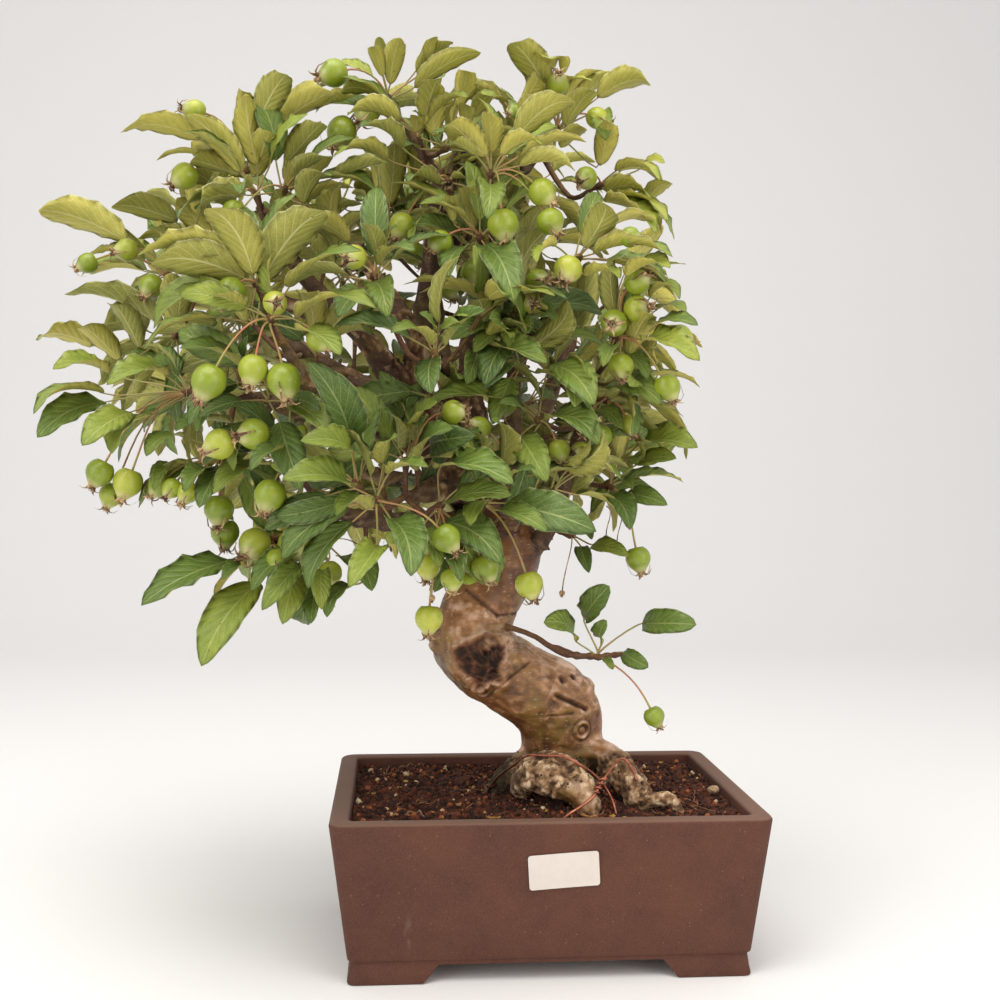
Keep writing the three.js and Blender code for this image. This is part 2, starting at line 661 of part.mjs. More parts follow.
// Tries to place a piece, turned or shifted a little more each time.
function place(spray, makeAt) {
  for (let attempt = 0; attempt < shiftSteps.length; attempt++) {
    const solid = makeAt(attempt);
    if (!solid) continue;
    if (isClear(solid, spray) && solid.minGap(wood, 1) > leafGap / 2) {
      placed.push({ spray, solid, box: boxOf(solid) });
      spray.pieces.push(solid);
      return;
    }
  }
}

// The direction that a blade's top faces: square to its axis, and as near as can be to a wish.
function squareTo(axis, wish, roll) {
  return wish.clone().addScaledVector(axis, -wish.dot(axis)).normalize().applyAxisAngle(axis, roll);
}

// A leaf that is written down: its foot and tip as seen, its real length making up the depth.
function seenLeaf(spray, [footU, footV, tipU, tipV, length], n, attempt) {
  const random = draws(spray.seed + n);
  const depth = spray.view.hub[2] + shiftSteps[attempt] + bladeForward;
  const foot = seen(footU, footV, depth);
  const flatTip = seen(tipU, tipV, depth);
  const lean = Math.sqrt(Math.max(0, length * length - flatTip.distanceToSquared(foot)));
  const tip = seen(tipU, tipV, depth - Math.min(lean, leanShare * length));
  const axis = tip.clone().sub(foot).normalize();
  const wish = eye.clone().sub(foot).normalize().multiplyScalar(spray.view.face).add(up);
  const normal = squareTo(axis, wish, (random() - 0.5) * 0.7);
  const seenWidth = Math.max(leafSlimness * foot.distanceTo(tip), leastSeenWidth * length);
  const halfWidth = seenWidth * (0.92 + 0.16 * random());
  return { root: stalkRoot(spray, n), foot, tip, normal, halfWidth };
}

// A leaf by rule: turned round the twig by the golden angle, and spreading outward from it.
function grownLeaf(spray, n, attempt) {
  const random = draws(spray.seed + 500 + n * shiftSteps.length + attempt);
  const { along, outward } = spray;
  const side = new THREE.Vector3().crossVectors(along, up).normalize();
  const turn = n * goldenAngle + (random() - 0.5) * turnSlack;
  const spread = within(leafSpreads, random());
  const direction = side.applyAxisAngle(along, turn).multiplyScalar(Math.sin(spread))
    .addScaledVector(along, Math.cos(spread))
    .addScaledVector(outward, leafOutward)
    .addScaledVector(up, within(leafRises, random()))
    .normalize();
  const root = stalkRoot(spray, n);
  const foot = root.clone().addScaledVector(direction, within(leafStalks, random()));
  const length = within(leafLengths, random());
  const axis = direction.addScaledVector(up, -within(leafDroops, random())).normalize();
  const tip = foot.clone().addScaledVector(axis, length);
  const wish = up.clone().addScaledVector(outward, 0.5);
  const normal = squareTo(axis, wish, (random() - 0.5) * 0.9);
  return { root, foot, tip, normal, halfWidth: leafSlimness * length };
}

// The way a fruit points: on from its stalk, and down.
function hanging(root, centre) {
  const [onward, downward] = hangShares;
  return centre.clone().sub(root).setLength(onward).addScaledVector(up, -downward).normalize();
}

// A fruit that is written down. Its stalk leaves the spur, and its calyx points on from there and down.
function seenFruit(spray, [u, v, diameter], n, attempt) {
  const centre = seen(u, v, spray.view.hub[2] + fruitForward + shiftSteps[attempt]);
  const root = stalkRoot(spray, n);
  return { root, centre, axis: hanging(root, centre), radius: diameter / 2 };
}

// A fruit by rule, hanging from the spur.
function grownFruit(spray, n, attempt) {
  const random = draws(spray.seed + 900 + n * shiftSteps.length + attempt);
  const turn = 2 * Math.PI * random();
  const reach = within(fruitReaches, random());
  const root = stalkRoot(spray, n);
  const centre = root.clone().addScaledVector(spray.outward, fruitOutward)
    .add(new THREE.Vector3(reach * Math.cos(turn), reach * Math.sin(turn), -within(fruitDrops, random())));
  return { root, centre, axis: hanging(root, centre), radius: within(fruitRadii, random()) };
}

// Where the nth stalk starts inside the spur.
function stalkRoot(spray, n) {
  return spray.hub.clone().addScaledVector(spray.along, -1.3 * (n % 4));
}

// A twig along its line, with a knobby spur at its end, grown by a margin on every side.
function twigShape(line, margin) {
  const along = line[3].clone().sub(line[2]).normalize();
  const rings = tubeRings(line, twigRadii.map((radius) => radius + margin), 4);
  return loft([...rings, [line[3].clone().addScaledVector(along, spurLength / 2 + margin)]]);
}

// The twig of a spray, from inside the wood to its spur, bowed another way until it is clear of the
// other twigs. Where no bow clears them, it starts at the twig that it would cross.
function growTwig(spray, foot) {
  for (const [sag, sway] of twigBows) {
    const reach = foot.distanceTo(spray.hub);
    const straight = spray.hub.clone().sub(foot).normalize();
    const across = new THREE.Vector3().crossVectors(straight, up).normalize();
    const middle = foot.clone().lerp(spray.hub, 0.5)
      .addScaledVector(up, sag * reach)
      .addScaledVector(across, sway * reach);
    spray.along = spray.hub.clone().sub(middle).normalize();
    const spurFoot = spray.hub.clone().addScaledVector(spray.along, -spurLength);
    spray.twigLine = [foot, middle, spurFoot, spray.hub];
    spray.twigSolid = twigShape(spray.twigLine, 0);
    if (isClear(spray.twigSolid, spray)) break;
  }
  spray.crossed = sprays.filter((other) => spray.twigSolid.minGap(other.twigSolid, leafGap) < clearance);
  placed.push({ spray, isTwig: true, solid: spray.twigSolid, box: boxOf(spray.twigSolid) });
  spray.pieces = [spray.twigSolid];
}

const wood = woodSolid(0);
const woodWithClearance = woodSolid(1.2 * clearance);
const crownMiddle = new THREE.Vector3(...crownPlace);
const sprays = [];

function addSpray(name, hub, view, grownLeaves, grownFruits) {
  const outward = hub.clone().sub(crownMiddle).normalize();
  const seed = sprays.length * 1000;
  const spray = { name, hub, view, outward, seed, grownLeaves, grownFruits };
  growTwig(spray, nearestWood(hub));
  sprays.push(spray);
}

for (const [name, view] of Object.entries(frontSprays)) {
  addSpray(`spray_${name}`, seen(...view.hub), view, 0, 0);
}

for (let n = 0; n < backSprays; n++) {
  const rise = THREE.MathUtils.lerp(...backLift, (n + 0.5) / backSprays);
  const turn = Math.PI * (((n * goldenShare) % 1) * 0.94 + 0.03);
  const level = Math.sqrt(1 - rise * rise);
  const outward = new THREE.Vector3(level * Math.cos(turn), level * Math.sin(turn), rise);
  const rim = outward.clone().multiply(new THREE.Vector3(...crownRadii));
  const hub = crownMiddle.clone().addScaledVector(rim, backShare);
  while (!showsInCrown(hub.clone().addScaledVector(outward, leafLengths[0]))) hub.lerp(crownMiddle, 0.05);
  addSpray(`spray_back_${n + 1}`, hub, { leaves: [], fruit: [] }, leavesOnBackSpray, n % 2);
}

// The side shoot's own stem carries its leaves and fruit straight.
const [shootPoints, shootRadii] = woodLine(sideShootLine);
const shootStem = tube(shootPoints, shootRadii, 5);
const shoot = {
  name: "side_shoot",
  hub: seen(...sideShoot.hub),
  view: sideShoot,
  seed: sprays.length * 1000,
  along: shootPoints.at(-2).clone().sub(shootPoints.at(-3)).normalize(),
  twigSolid: shootStem,
  pieces: [shootStem],
  crossed: [],
  grownLeaves: 0,
  grownFruits: 0,
};
sprays.push(shoot);
placed.push({ spray: shoot, isTwig: true, solid: shootStem, box: boxOf(shootStem) });

for (const [name, hub] of Object.entries(deepSprays)) {
  addSpray(`spray_${name}`, new THREE.Vector3(...hub), { leaves: [], fruit: [] }, leavesOnDeepSpray, 1);
}

for (const spray of sprays) {
  spray.view.fruit.forEach((row, n) => {
    place(spray, (attempt) => fruitSolid(seenFruit(spray, row, n, attempt)));
  });
}
for (const spray of sprays) {
  spray.view.leaves.forEach((row, n) => {
    place(spray, (attempt) => leafSolid(seenLeaf(spray, row, n, attempt)));
  });
}
for (const spray of sprays) {
  for (let n = 0; n < spray.grownFruits; n++) {
    place(spray, (attempt) => {
      const fruit = grownFruit(spray, n, attempt);
      return showsInCrown(fruit.centre) && fruitSolid(fruit);
    });
  }
  for (let n = 0; n < spray.grownLeaves; n++) {
    place(spray, (attempt) => {
      const leaf = grownLeaf(spray, n, attempt);
      return showsInCrown(leaf.tip) && leafSolid(leaf);
    });
  }
}

// A horizontal ring of the pot: a rectangle of the given size with rounded corners, at a height.
function rimRing(width, depth, corner, height) {
  const ring = [];
  const middles = [[1, 1], [-1, 1], [-1, -1], [1, -1]];
  middles.forEach(([x, y], quarter) => {
    for (let step = 0; step <= cornerSteps; step++) {
      const angle = (Math.PI / 2) * (quarter + step / cornerSteps);
      ring.push(new THREE.Vector3(
        x * (width / 2 - corner) + corner * Math.cos(angle),
        y * (depth / 2 - corner) + corner * Math.sin(angle),
        height,
      ));
    }
  });
  return ring;
}

// The pot, from its section as [inset from the rim's outline, height]: up the outside, over the rim and
// down inside. Its foot ring is cut away between the four feet.
function potSolid() {
  const insetAt = (height) => potTaper * (1 - (height - footHeight) / (potHeight - footHeight));
  const floorTop = footHeight + floorThickness;
  const section = [
    [potTaper, 0], [potTaper + 1.5, footHeight - 1], [insetAt(footHeight), footHeight + 1],
    [insetAt(potHeight - edgeRound), potHeight - edgeRound], [edgeRound, potHeight],
    [wallThickness - edgeRound, potHeight], [wallThickness, potHeight - edgeRound],
    [insetAt(floorTop) + wallThickness, floorTop],
  ];
  const outside = loft(section.map(([inset, height]) => {
    const corner = Math.max(potCorner - inset / 2, 3);
    return rimRing(potWidth - 2 * inset, potDepth - 2 * inset, corner, height);
  }));
  const span = potWidth - 2 * (potTaper + footLength);
  const gapShape = new THREE.Shape([
    new THREE.Vector2(-span / 2, -1), new THREE.Vector2(span / 2, -1),
    new THREE.Vector2(span / 2 - footSlope, footHeight - apronHeight),
    new THREE.Vector2(footSlope - span / 2, footHeight - apronHeight),
  ]);
  const gap = (scale, length) => {
    const geometry = new THREE.ExtrudeGeometry(gapShape, { depth: length, bevelEnabled: false });
    geometry.translate(0, 0, -length / 2);
    geometry.scale(scale, 1, 1);
    geometry.rotateX(Math.PI / 2);
    return geometry;
  };
  const sideSpan = potDepth - 2 * (potTaper + footLength);
  const hollow = new THREE.BoxGeometry(
    potWidth - 2 * (potTaper + footWidth),
    potDepth - 2 * (potTaper + footWidth),
    2 * (footHeight - apronHeight),
  );
  let pot = outside
    .subtract(fromGeometry(gap(1, potDepth)))
    .subtract(fromGeometry(gap(sideSpan / span, potWidth).rotateZ(Math.PI / 2)))
    .subtract(fromGeometry(hollow));
  for (const x of drainPlaces) {
    const hole = new THREE.CylinderGeometry(drainRadius, drainRadius, potHeight, 12).rotateX(Math.PI / 2);
    pot = pot.subtract(fromGeometry(hole.translate(x, 0, 0)));
  }
  return pot;
}

// How high the soil stands at a place: a low mound round the trunk with small rises and dips.
function soilHeight(x, y) {
  const away = Math.hypot(x - moundPlace[0], y - moundPlace[1]);
  const mound = soilMound * Math.exp(-((away / moundSpread) ** 2));
  const rises = 0.9 * Math.sin(x / 13 + 1) * Math.cos(y / 11) + 0.5 * Math.sin(x / 5 + y / 7);
  return potHeight - soilDrop + mound + rises;
}

function soilSolid(stems) {
  const floor = footHeight + floorThickness + screenThickness + 2 * clearance;
  const insetAt = (height) => wallThickness + clearance
    + potTaper * (1 - (height - footHeight) / (potHeight - footHeight));
  const top = potHeight - soilDrop - 1;
  const outline = (height, share) => rimRing(
    share * (potWidth - 2 * insetAt(height)), share * (potDepth - 2 * insetAt(height)), 4 * share, height,
  );
  const raised = [1, 0.8, 0.56, 0.28].map((share) => outline(top, share).map((p) => {
    return new THREE.Vector3(p.x, p.y, soilHeight(p.x, p.y));
  }));
  const heart = new THREE.Vector3(0, 0, soilHeight(0, 0));
  return stems.reduce((soil, stem) => soil.subtract(stem), loft([outline(floor, 1), ...raised, [heart]]));
}

const barkTriangles = trianglesOf(wood);

function trianglesOf(solid) {
  const { vertProperties, triVerts } = solid.getMesh();
  const corner = (i) => new THREE.Vector3().fromArray(vertProperties, 3 * triVerts[i]);
  return Array.from({ length: triVerts.length / 3 }, (_, i) => {
    return new THREE.Triangle(corner(3 * i), corner(3 * i + 1), corner(3 * i + 2));
  });
}

// A point moved straight off the bark until it is at least so far from it.
function offTheBark(point, distance) {
  const nearest = { gap: Infinity };
  for (const triangle of barkTriangles) {
    const spot = triangle.closestPointToPoint(point, new THREE.Vector3());
    const gap = spot.distanceTo(point);
    if (gap < nearest.gap - 1e-4) Object.assign(nearest, { gap, spot, triangle });
  }
  const outward = nearest.triangle.getNormal(new THREE.Vector3());
  const isInside = point.clone().sub(nearest.spot).dot(outward) < 0;
  if (!isInside && nearest.gap >= distance) return point;
  return nearest.spot.clone().addScaledVector(outward, distance);
}

// A wire's path: it lies on the roots, and is drawn smooth again wherever they push it out.
function wirePath(views) {
  const drawn = new THREE.CatmullRomCurve3(views.map((view) => seen(...view)));
  const push = (points) => points.map((point) => offTheBark(point, wireRadius + 2 * clearance));
  const smooth = (points) => points.map((point, i) => {
    if (i === 0 || i === points.length - 1) return point;
    const between = points[i - 1].clone().lerp(points[i + 1], 0.5);
    return between.lerp(point, 0.5);
  });
  let points = push(drawn.getPoints(wireStretch * (views.length - 1)));
  for (let round = 0; round < 3; round++) points = push(smooth(points));
  return points;
}

function wireSolid(path, radius, sides) {
  const section = new THREE.Shape(Array.from({ length: sides }, (_, k) => {
    const angle = (2 * Math.PI * k) / sides;
    return new THREE.Vector2(radius * Math.cos(angle), radius * Math.sin(angle));
  }));
  const extrudePath = new THREE.CatmullRomCurve3(path);
  return fromGeometry(new THREE.ExtrudeGeometry(section, {
    steps: path.length - 1, extrudePath, bevelEnabled: false,
  }));
}

// A three.js geometry as a solid.
function fromGeometry(geometry) {
  const bare = geometry.clone();
  bare.deleteAttribute("normal");
  bare.deleteAttribute("uv");
  const merged = mergeVertices(bare, 1e-4);
  return new wasm.Manifold(new wasm.Mesh({
    numProp: 3,
    vertProperties: new Float32Array(merged.attributes.position.array),
    triVerts: new Uint32Array(merged.index.array),
  }));
}

const potColour = new THREE.MeshStandardMaterial({ color: 0x5d3f35, roughness: 0.8, metalness: 0 });
const soilColour = new THREE.MeshStandardMaterial({ color: 0x44261a, roughness: 1, metalness: 0 });
const barkColour = new THREE.MeshStandardMaterial({ color: 0x86664b, roughness: 0.85, metalness: 0 });
const sprayColour = new THREE.MeshStandardMaterial({ color: 0x6c8a3a, roughness: 0.55, metalness: 0 });
const copperColour = new THREE.MeshStandardMaterial({ color: 0x8a4a30, roughness: 0.4, metalness: 0.9 });
const stoneColour = new THREE.MeshStandardMaterial({ color: 0xa88560, roughness: 0.9, metalness: 0 });
const paperColour = new THREE.MeshStandardMaterial({ color: 0xf0eee8, roughness: 0.6, metalness: 0 });
const screenColour = new THREE.MeshStandardMaterial({ color: 0x2b2b2b, roughness: 0.7, metalness: 0 });

const bonsai = new THREE.Group();

function addPart(name, solid, material) {
  bonsai.add(meshOf(name, solid, material));
}

const wirePaths = Object.entries(wireViews).map(([name, views]) => [name, wirePath(views)]);
const wires = wirePaths.map(([name, path]) => {
  return [name, biggestPiece(wireSolid(path, wireRadius, wireSides).subtract(woodWithClearance))];
});
const wireHoles = wirePaths.map(([, path]) => wireSolid(path, 1.6 * wireRadius + clearance, 4));

const soil = soilSolid([woodWithClearance, ...wireHoles]);
const abovePebble = new THREE.Vector3(...pebblePlace, potHeight + soilMound);
const downward = new THREE.Raycaster(abovePebble, up.clone().negate());
const [ground] = downward.intersectObject(meshOf("ground", soil, new THREE.MeshBasicMaterial()));
const pebbleRise = 0.35 * pebbleSize + clearance;
const pebble = new THREE.IcosahedronGeometry(pebbleSize / 2, 1).scale(1, 0.8, 0.7)
  .translate(...pebblePlace, ground.point.z + pebbleRise);

addPart("pot", potSolid(), potColour);
addPart("soil", soil, soilColour);
addPart("trunk_and_branches", wood, barkColour);
wires.forEach(([name, solid]) => addPart(name, solid, copperColour));
addPart("pebble", fromGeometry(pebble), stoneColour);
drainPlaces.forEach((x, i) => {
  const sheet = new THREE.BoxGeometry(screenSize, screenSize, screenThickness);
  const height = footHeight + floorThickness + clearance + screenThickness / 2;
  addPart(`drain_screen_${i + 1}`, fromGeometry(sheet.translate(x, 0, height)), screenColour);
});

const wallSlope = Math.atan(potTaper / (potHeight - footHeight));
const wallInset = potTaper * (1 - (tagPlace[1] - footHeight) / (potHeight - footHeight));
const tag = new THREE.BoxGeometry(tagWidth, tagThickness, tagHeight)
  .translate(0, -tagThickness / 2 - clearance, 0)
  .rotateY(tagTilt)
  .rotateX(wallSlope)
  .translate(tagPlace[0], wallInset - potDepth / 2, tagPlace[1]);
addPart("paper_tag", fromGeometry(tag), paperColour);

for (const spray of sprays) {
  const joined = wasm.Manifold.union(spray.pieces).subtract(woodWithClearance);
  const cut = spray.crossed.reduce((rest, other) => {
    return rest.subtract(twigShape(other.twigLine, 2 * clearance));
  }, joined);
  addPart(spray.name, biggestPiece(cut.simplify(leastEdge)), sprayColour);
}

// Everything moves so that the middle of the bounding box, on the ground, is the origin.
const reach = new THREE.Box3().setFromObject(bonsai);
const middle = reach.getCenter(new THREE.Vector3());
bonsai.children.forEach((mesh) => mesh.position.set(-middle.x, -middle.y, 0));

export default bonsai;
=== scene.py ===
# Looks of the Hall crabapple bonsai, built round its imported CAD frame.
# Everything is made in millimetres about the middle of the pot's foot, and addPiece() brings it into
# the frame.
import math

import bmesh
import bpy
from mathutils import Matrix, Quaternion, Vector, noise
from mathutils.bvhtree import BVHTree
from mathutils.geometry import intersect_point_line
from mathutils.kdtree import KDTree


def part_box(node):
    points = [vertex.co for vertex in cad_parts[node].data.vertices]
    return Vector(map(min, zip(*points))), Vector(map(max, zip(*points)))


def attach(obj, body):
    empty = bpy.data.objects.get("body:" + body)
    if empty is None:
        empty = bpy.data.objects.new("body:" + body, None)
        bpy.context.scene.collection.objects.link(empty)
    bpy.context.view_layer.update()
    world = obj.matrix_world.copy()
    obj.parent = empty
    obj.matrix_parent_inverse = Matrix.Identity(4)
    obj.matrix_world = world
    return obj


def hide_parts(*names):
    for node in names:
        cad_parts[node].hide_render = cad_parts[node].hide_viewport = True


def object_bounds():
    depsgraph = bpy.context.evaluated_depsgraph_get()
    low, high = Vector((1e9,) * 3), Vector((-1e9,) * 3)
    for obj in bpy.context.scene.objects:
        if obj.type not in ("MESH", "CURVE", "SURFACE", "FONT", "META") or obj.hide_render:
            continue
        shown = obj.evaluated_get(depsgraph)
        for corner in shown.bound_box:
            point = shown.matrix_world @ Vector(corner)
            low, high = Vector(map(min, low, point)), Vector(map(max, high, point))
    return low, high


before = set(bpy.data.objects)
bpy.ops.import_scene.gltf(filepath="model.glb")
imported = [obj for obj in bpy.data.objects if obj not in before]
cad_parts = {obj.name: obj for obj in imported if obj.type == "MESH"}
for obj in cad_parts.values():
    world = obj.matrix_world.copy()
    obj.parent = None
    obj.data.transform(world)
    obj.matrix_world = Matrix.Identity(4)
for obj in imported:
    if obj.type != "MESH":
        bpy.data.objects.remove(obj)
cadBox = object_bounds()
# noise_vector() has a seed of its own, which is the time of day if it isn't set
noise.seed_set(7)
print("frame loaded:", len(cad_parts), "nodes")

mm = 0.001
up = Vector((0, 0, 1))
potLow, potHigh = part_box("pot")
potMiddle = Vector(((potLow.x + potHigh.x) / 2, (potLow.y + potHigh.y) / 2, 0))
toRow = Matrix.Translation(potMiddle) @ Matrix.Scale(mm, 4)
toTree = toRow.inverted()

# The spot that the tree was measured from, which is also the camera's. A place on the tree is written
# as [u, v, y]: its column and row as seen from there, of 1000 by 1000, and its depth behind the pot's
# middle.
view = {
    "eye": Vector((-91.8, -814.8, 292.8)),
    "yaw": 0.0813,
    "pitch": -0.0167,
    "roll": 0.0063,
    "reach": 1270.6,
    "middle": 500,
}
toRight = Vector((math.cos(view["yaw"]), -math.sin(view["yaw"]), 0))
ahead = Vector((math.sin(view["yaw"]), math.cos(view["yaw"]), 0)) * math.cos(view["pitch"])
ahead += up * math.sin(view["pitch"])
above = toRight.cross(ahead)
tiltCos, tiltSin = math.cos(view["roll"]), math.sin(view["roll"])


def seen(u, v, y):
    du, dv = u - view["middle"], v - view["middle"]
    ray = ahead + toRight * ((tiltCos * du + tiltSin * dv) / view["reach"])
    ray -= above * ((tiltCos * dv - tiltSin * du) / view["reach"])
    return view["eye"] + ray * ((y - view["eye"].y) / ray.y)


def viewOf(place):
    ray = place - view["eye"]
    across = view["reach"] * ray.dot(toRight) / ray.dot(ahead)
    down = -view["reach"] * ray.dot(above) / ray.dot(ahead)
    return (
        view["middle"] + tiltCos * across - tiltSin * down,
        view["middle"] + tiltSin * across + tiltCos * down,
    )


def intoScene(thing):
    bpy.context.scene.collection.objects.link(thing)


def addCamera():
    camera = bpy.data.objects.new("camera", bpy.data.cameras.new("camera"))
    camera.data.sensor_width = 36
    camera.data.lens = 36 * view["reach"] / 1000
    axes = Matrix((toRight * tiltCos + above * tiltSin, above * tiltCos - toRight * tiltSin, -ahead))
    camera.matrix_world = Matrix.Translation(toRow @ view["eye"]) @ axes.transposed().to_4x4()
    camera.data.clip_start, camera.data.clip_end = 0.02, 30
    intoScene(camera)
    bpy.context.scene.camera = camera


addCamera()


def draws(seed):
    # A repeatable stream of numbers from 0 to 1, the same one that the CAD source draws from.
    state = seed & 0xFFFFFFFF

    def draw():
        nonlocal state
        state = (state + 0x6D2B79F5) & 0xFFFFFFFF
        t = ((state ^ (state >> 15)) * (state | 1)) & 0xFFFFFFFF
        t ^= (t + (((t ^ (t >> 7)) * (t | 61)) & 0xFFFFFFFF)) & 0xFFFFFFFF
        return (t ^ (t >> 14)) / 4294967296

    return draw


def blend(a, b, t):
    return a + (b - a) * t


def ease(low, high, value):
    t = min(max((value - low) / (high - low), 0), 1)
    return t * t * (3 - 2 * t)


def bump(away, width):
    # 1 at no distance, and soon 0 past the width
    return math.exp(-(away / width) ** 2)


def nearestOn(place, start, end):
    spot, share = intersect_point_line(place, start, end)
    return start if share < 0 else end if share > 1 else spot


def perlin(place):
    return noise.noise(place, noise_basis="PERLIN_ORIGINAL")


# Trunk, from the root collar to the first fork: [u, v, y, radius]
trunkLine = [
    [563, 806, 2, 27], [563, 780, 1, 29], [563, 758, 0, 27.5], [562, 738, -1, 26.5],
    [559, 714, -4, 27.5], [544, 695, -8, 26.5], [512, 678, -12, 24.8], [486, 661, -14, 24.6],
    [472, 640, -14, 26.2], [476, 614, -10, 24.2], [488, 590, -6, 23.2], [500, 566, -3, 23.4],
    [507, 546, -2, 22], [500, 520, -2, 17],
]

# Branches in the same way. The first point of each lies inside the wood that it leaves.
branchLines = {
    "cutLimb": [[504, 540, -2, 19], [470, 490, 2, 17], [432, 436, 6, 16], [404, 396, 8, 16],
        [391, 376, 8, 14.5]],
    "leader": [[412, 410, 6, 9], [420, 345, 4, 7.6], [427, 290, 2, 6.5], [434, 235, 0, 5.5],
        [436, 190, -2, 4.6], [424, 155, -6, 3.8], [402, 122, -10, 2.4]],
    "middle": [[470, 490, 0, 9], [478, 430, -14, 6.8], [467, 352, -24, 5.2], [478, 308, -30, 4.4],
        [492, 272, -36, 2.4]],
    "rightUp": [[500, 540, 0, 10], [516, 478, -10, 7], [512, 405, -14, 5.6], [520, 358, -20, 4.6],
        [534, 330, -28, 2.4]],
    "right": [[512, 556, -6, 10], [534, 546, -12, 7.2], [549, 527, -18, 5.8], [566, 480, -24, 5],
        [580, 432, -28, 4.2], [596, 376, -34, 2.4]],
    "lowLeft": [[492, 530, -6, 10], [448, 524, -28, 7.2], [400, 522, -50, 6], [352, 517, -66, 5],
        [322, 502, -78, 2.4]],
    "midLeft": [[440, 446, 2, 11], [382, 428, -26, 7.5], [324, 421, -46, 6], [272, 402, -58, 4.8],
        [224, 392, -62, 2.4]],
    "highLeft": [[404, 392, 4, 9], [364, 338, -10, 6.2], [318, 292, -22, 5], [282, 246, -28, 4],
        [260, 206, -30, 2.4]],
    "farLeft": [[340, 318, -14, 6], [284, 304, 6, 4.8], [232, 292, 12, 3.9], [192, 282, 12, 2.4]],
    "highRight": [[430, 282, 2, 6], [472, 228, 16, 4.6], [512, 186, 22, 3.8], [540, 152, 16, 2.4]],
    "frontLeft": [[330, 422, -44, 6], [306, 384, -84, 4.8], [284, 344, -106, 2.4]],
    "frontLow": [[470, 490, -4, 8], [436, 492, -46, 6], [404, 497, -84, 2.4]],
    "frontMiddle": [[474, 410, -16, 6], [452, 380, -50, 4.6], [442, 364, -74, 2.4]],
    "frontRight": [[508, 530, -8, 8], [510, 512, -40, 5.4], [498, 504, -68, 2.4]],
    "backRight": [[504, 520, 6, 10], [532, 440, 46, 7], [560, 370, 78, 5.4], [584, 300, 96, 2.4]],
    "backMiddle": [[458, 470, 10, 10], [450, 400, 50, 7], [440, 330, 82, 5.4], [432, 258, 100, 2.4]],
    "backLeft": [[424, 424, 12, 10], [366, 388, 50, 7], [300, 350, 80, 5.4], [240, 316, 94, 2.4]],
    "backLow": [[478, 500, 8, 10], [424, 486, 46, 6.6], [348, 468, 78, 5.2], [280, 452, 94, 2.4]],
    "backTop": [[420, 344, 8, 7], [372, 272, 46, 5], [330, 210, 68, 2.4]],
    "backCrown": [[434, 240, 4, 6], [452, 180, 38, 4.4], [462, 130, 56, 2.4]],
}

# Roots: the last point of each is buried.
rootLines = {
    "archRoot": [[538, 790, -10, 9], [522, 776, -30, 7.5], [540, 766, -42, 9], [563, 770, -50, 9.5],
        [579, 787, -58, 9], [587, 808, -64, 8.2], [589, 838, -68, 7]],
    "rightRoot": [[584, 748, -8, 13], [607, 757, -26, 9], [626, 774, -38, 8.6], [638, 794, -46, 8],
        [643, 832, -50, 6]],
    "smallRoot": [[634, 802, -46, 6], [652, 800, -54, 4.6], [670, 799, -58, 4], [686, 824, -62, 3]],
    "leftRoot": [[546, 758, 0, 15], [520, 768, -6, 10], [500, 786, -10, 8], [482, 814, -14, 6]],
    "backLeftRoot": [[548, 762, 8, 14], [528, 768, 34, 10], [514, 780, 52, 8], [504, 806, 62, 6]],
    "backRightRoot": [[580, 756, 8, 15], [606, 764, 32, 10], [622, 778, 50, 8], [634, 806, 60, 6]],
}

# Copper tie wires, as seen: they lie on the roots, and both ends go down into the soil.
wireViews = {
    "wire_over_roots": [[482, 812, -14], [487, 792, -16], [500, 774, -22], [521, 763, -36],
        [540, 757, -48], [556, 755, -56], [568, 758, -60], [581, 765, -58], [595, 775, -52],
        [604, 785, -52], [611, 797, -56], [615, 808, -60], [618, 830, -62]],
    "wire_across_roots": [[637, 780, -54], [631, 766, -50], [622, 757, -46], [613, 766, -56],
        [605, 777, -64], [599, 787, -68], [591, 799, -70], [577, 809, -76], [561, 820, -78],
        [553, 838, -78]],
}

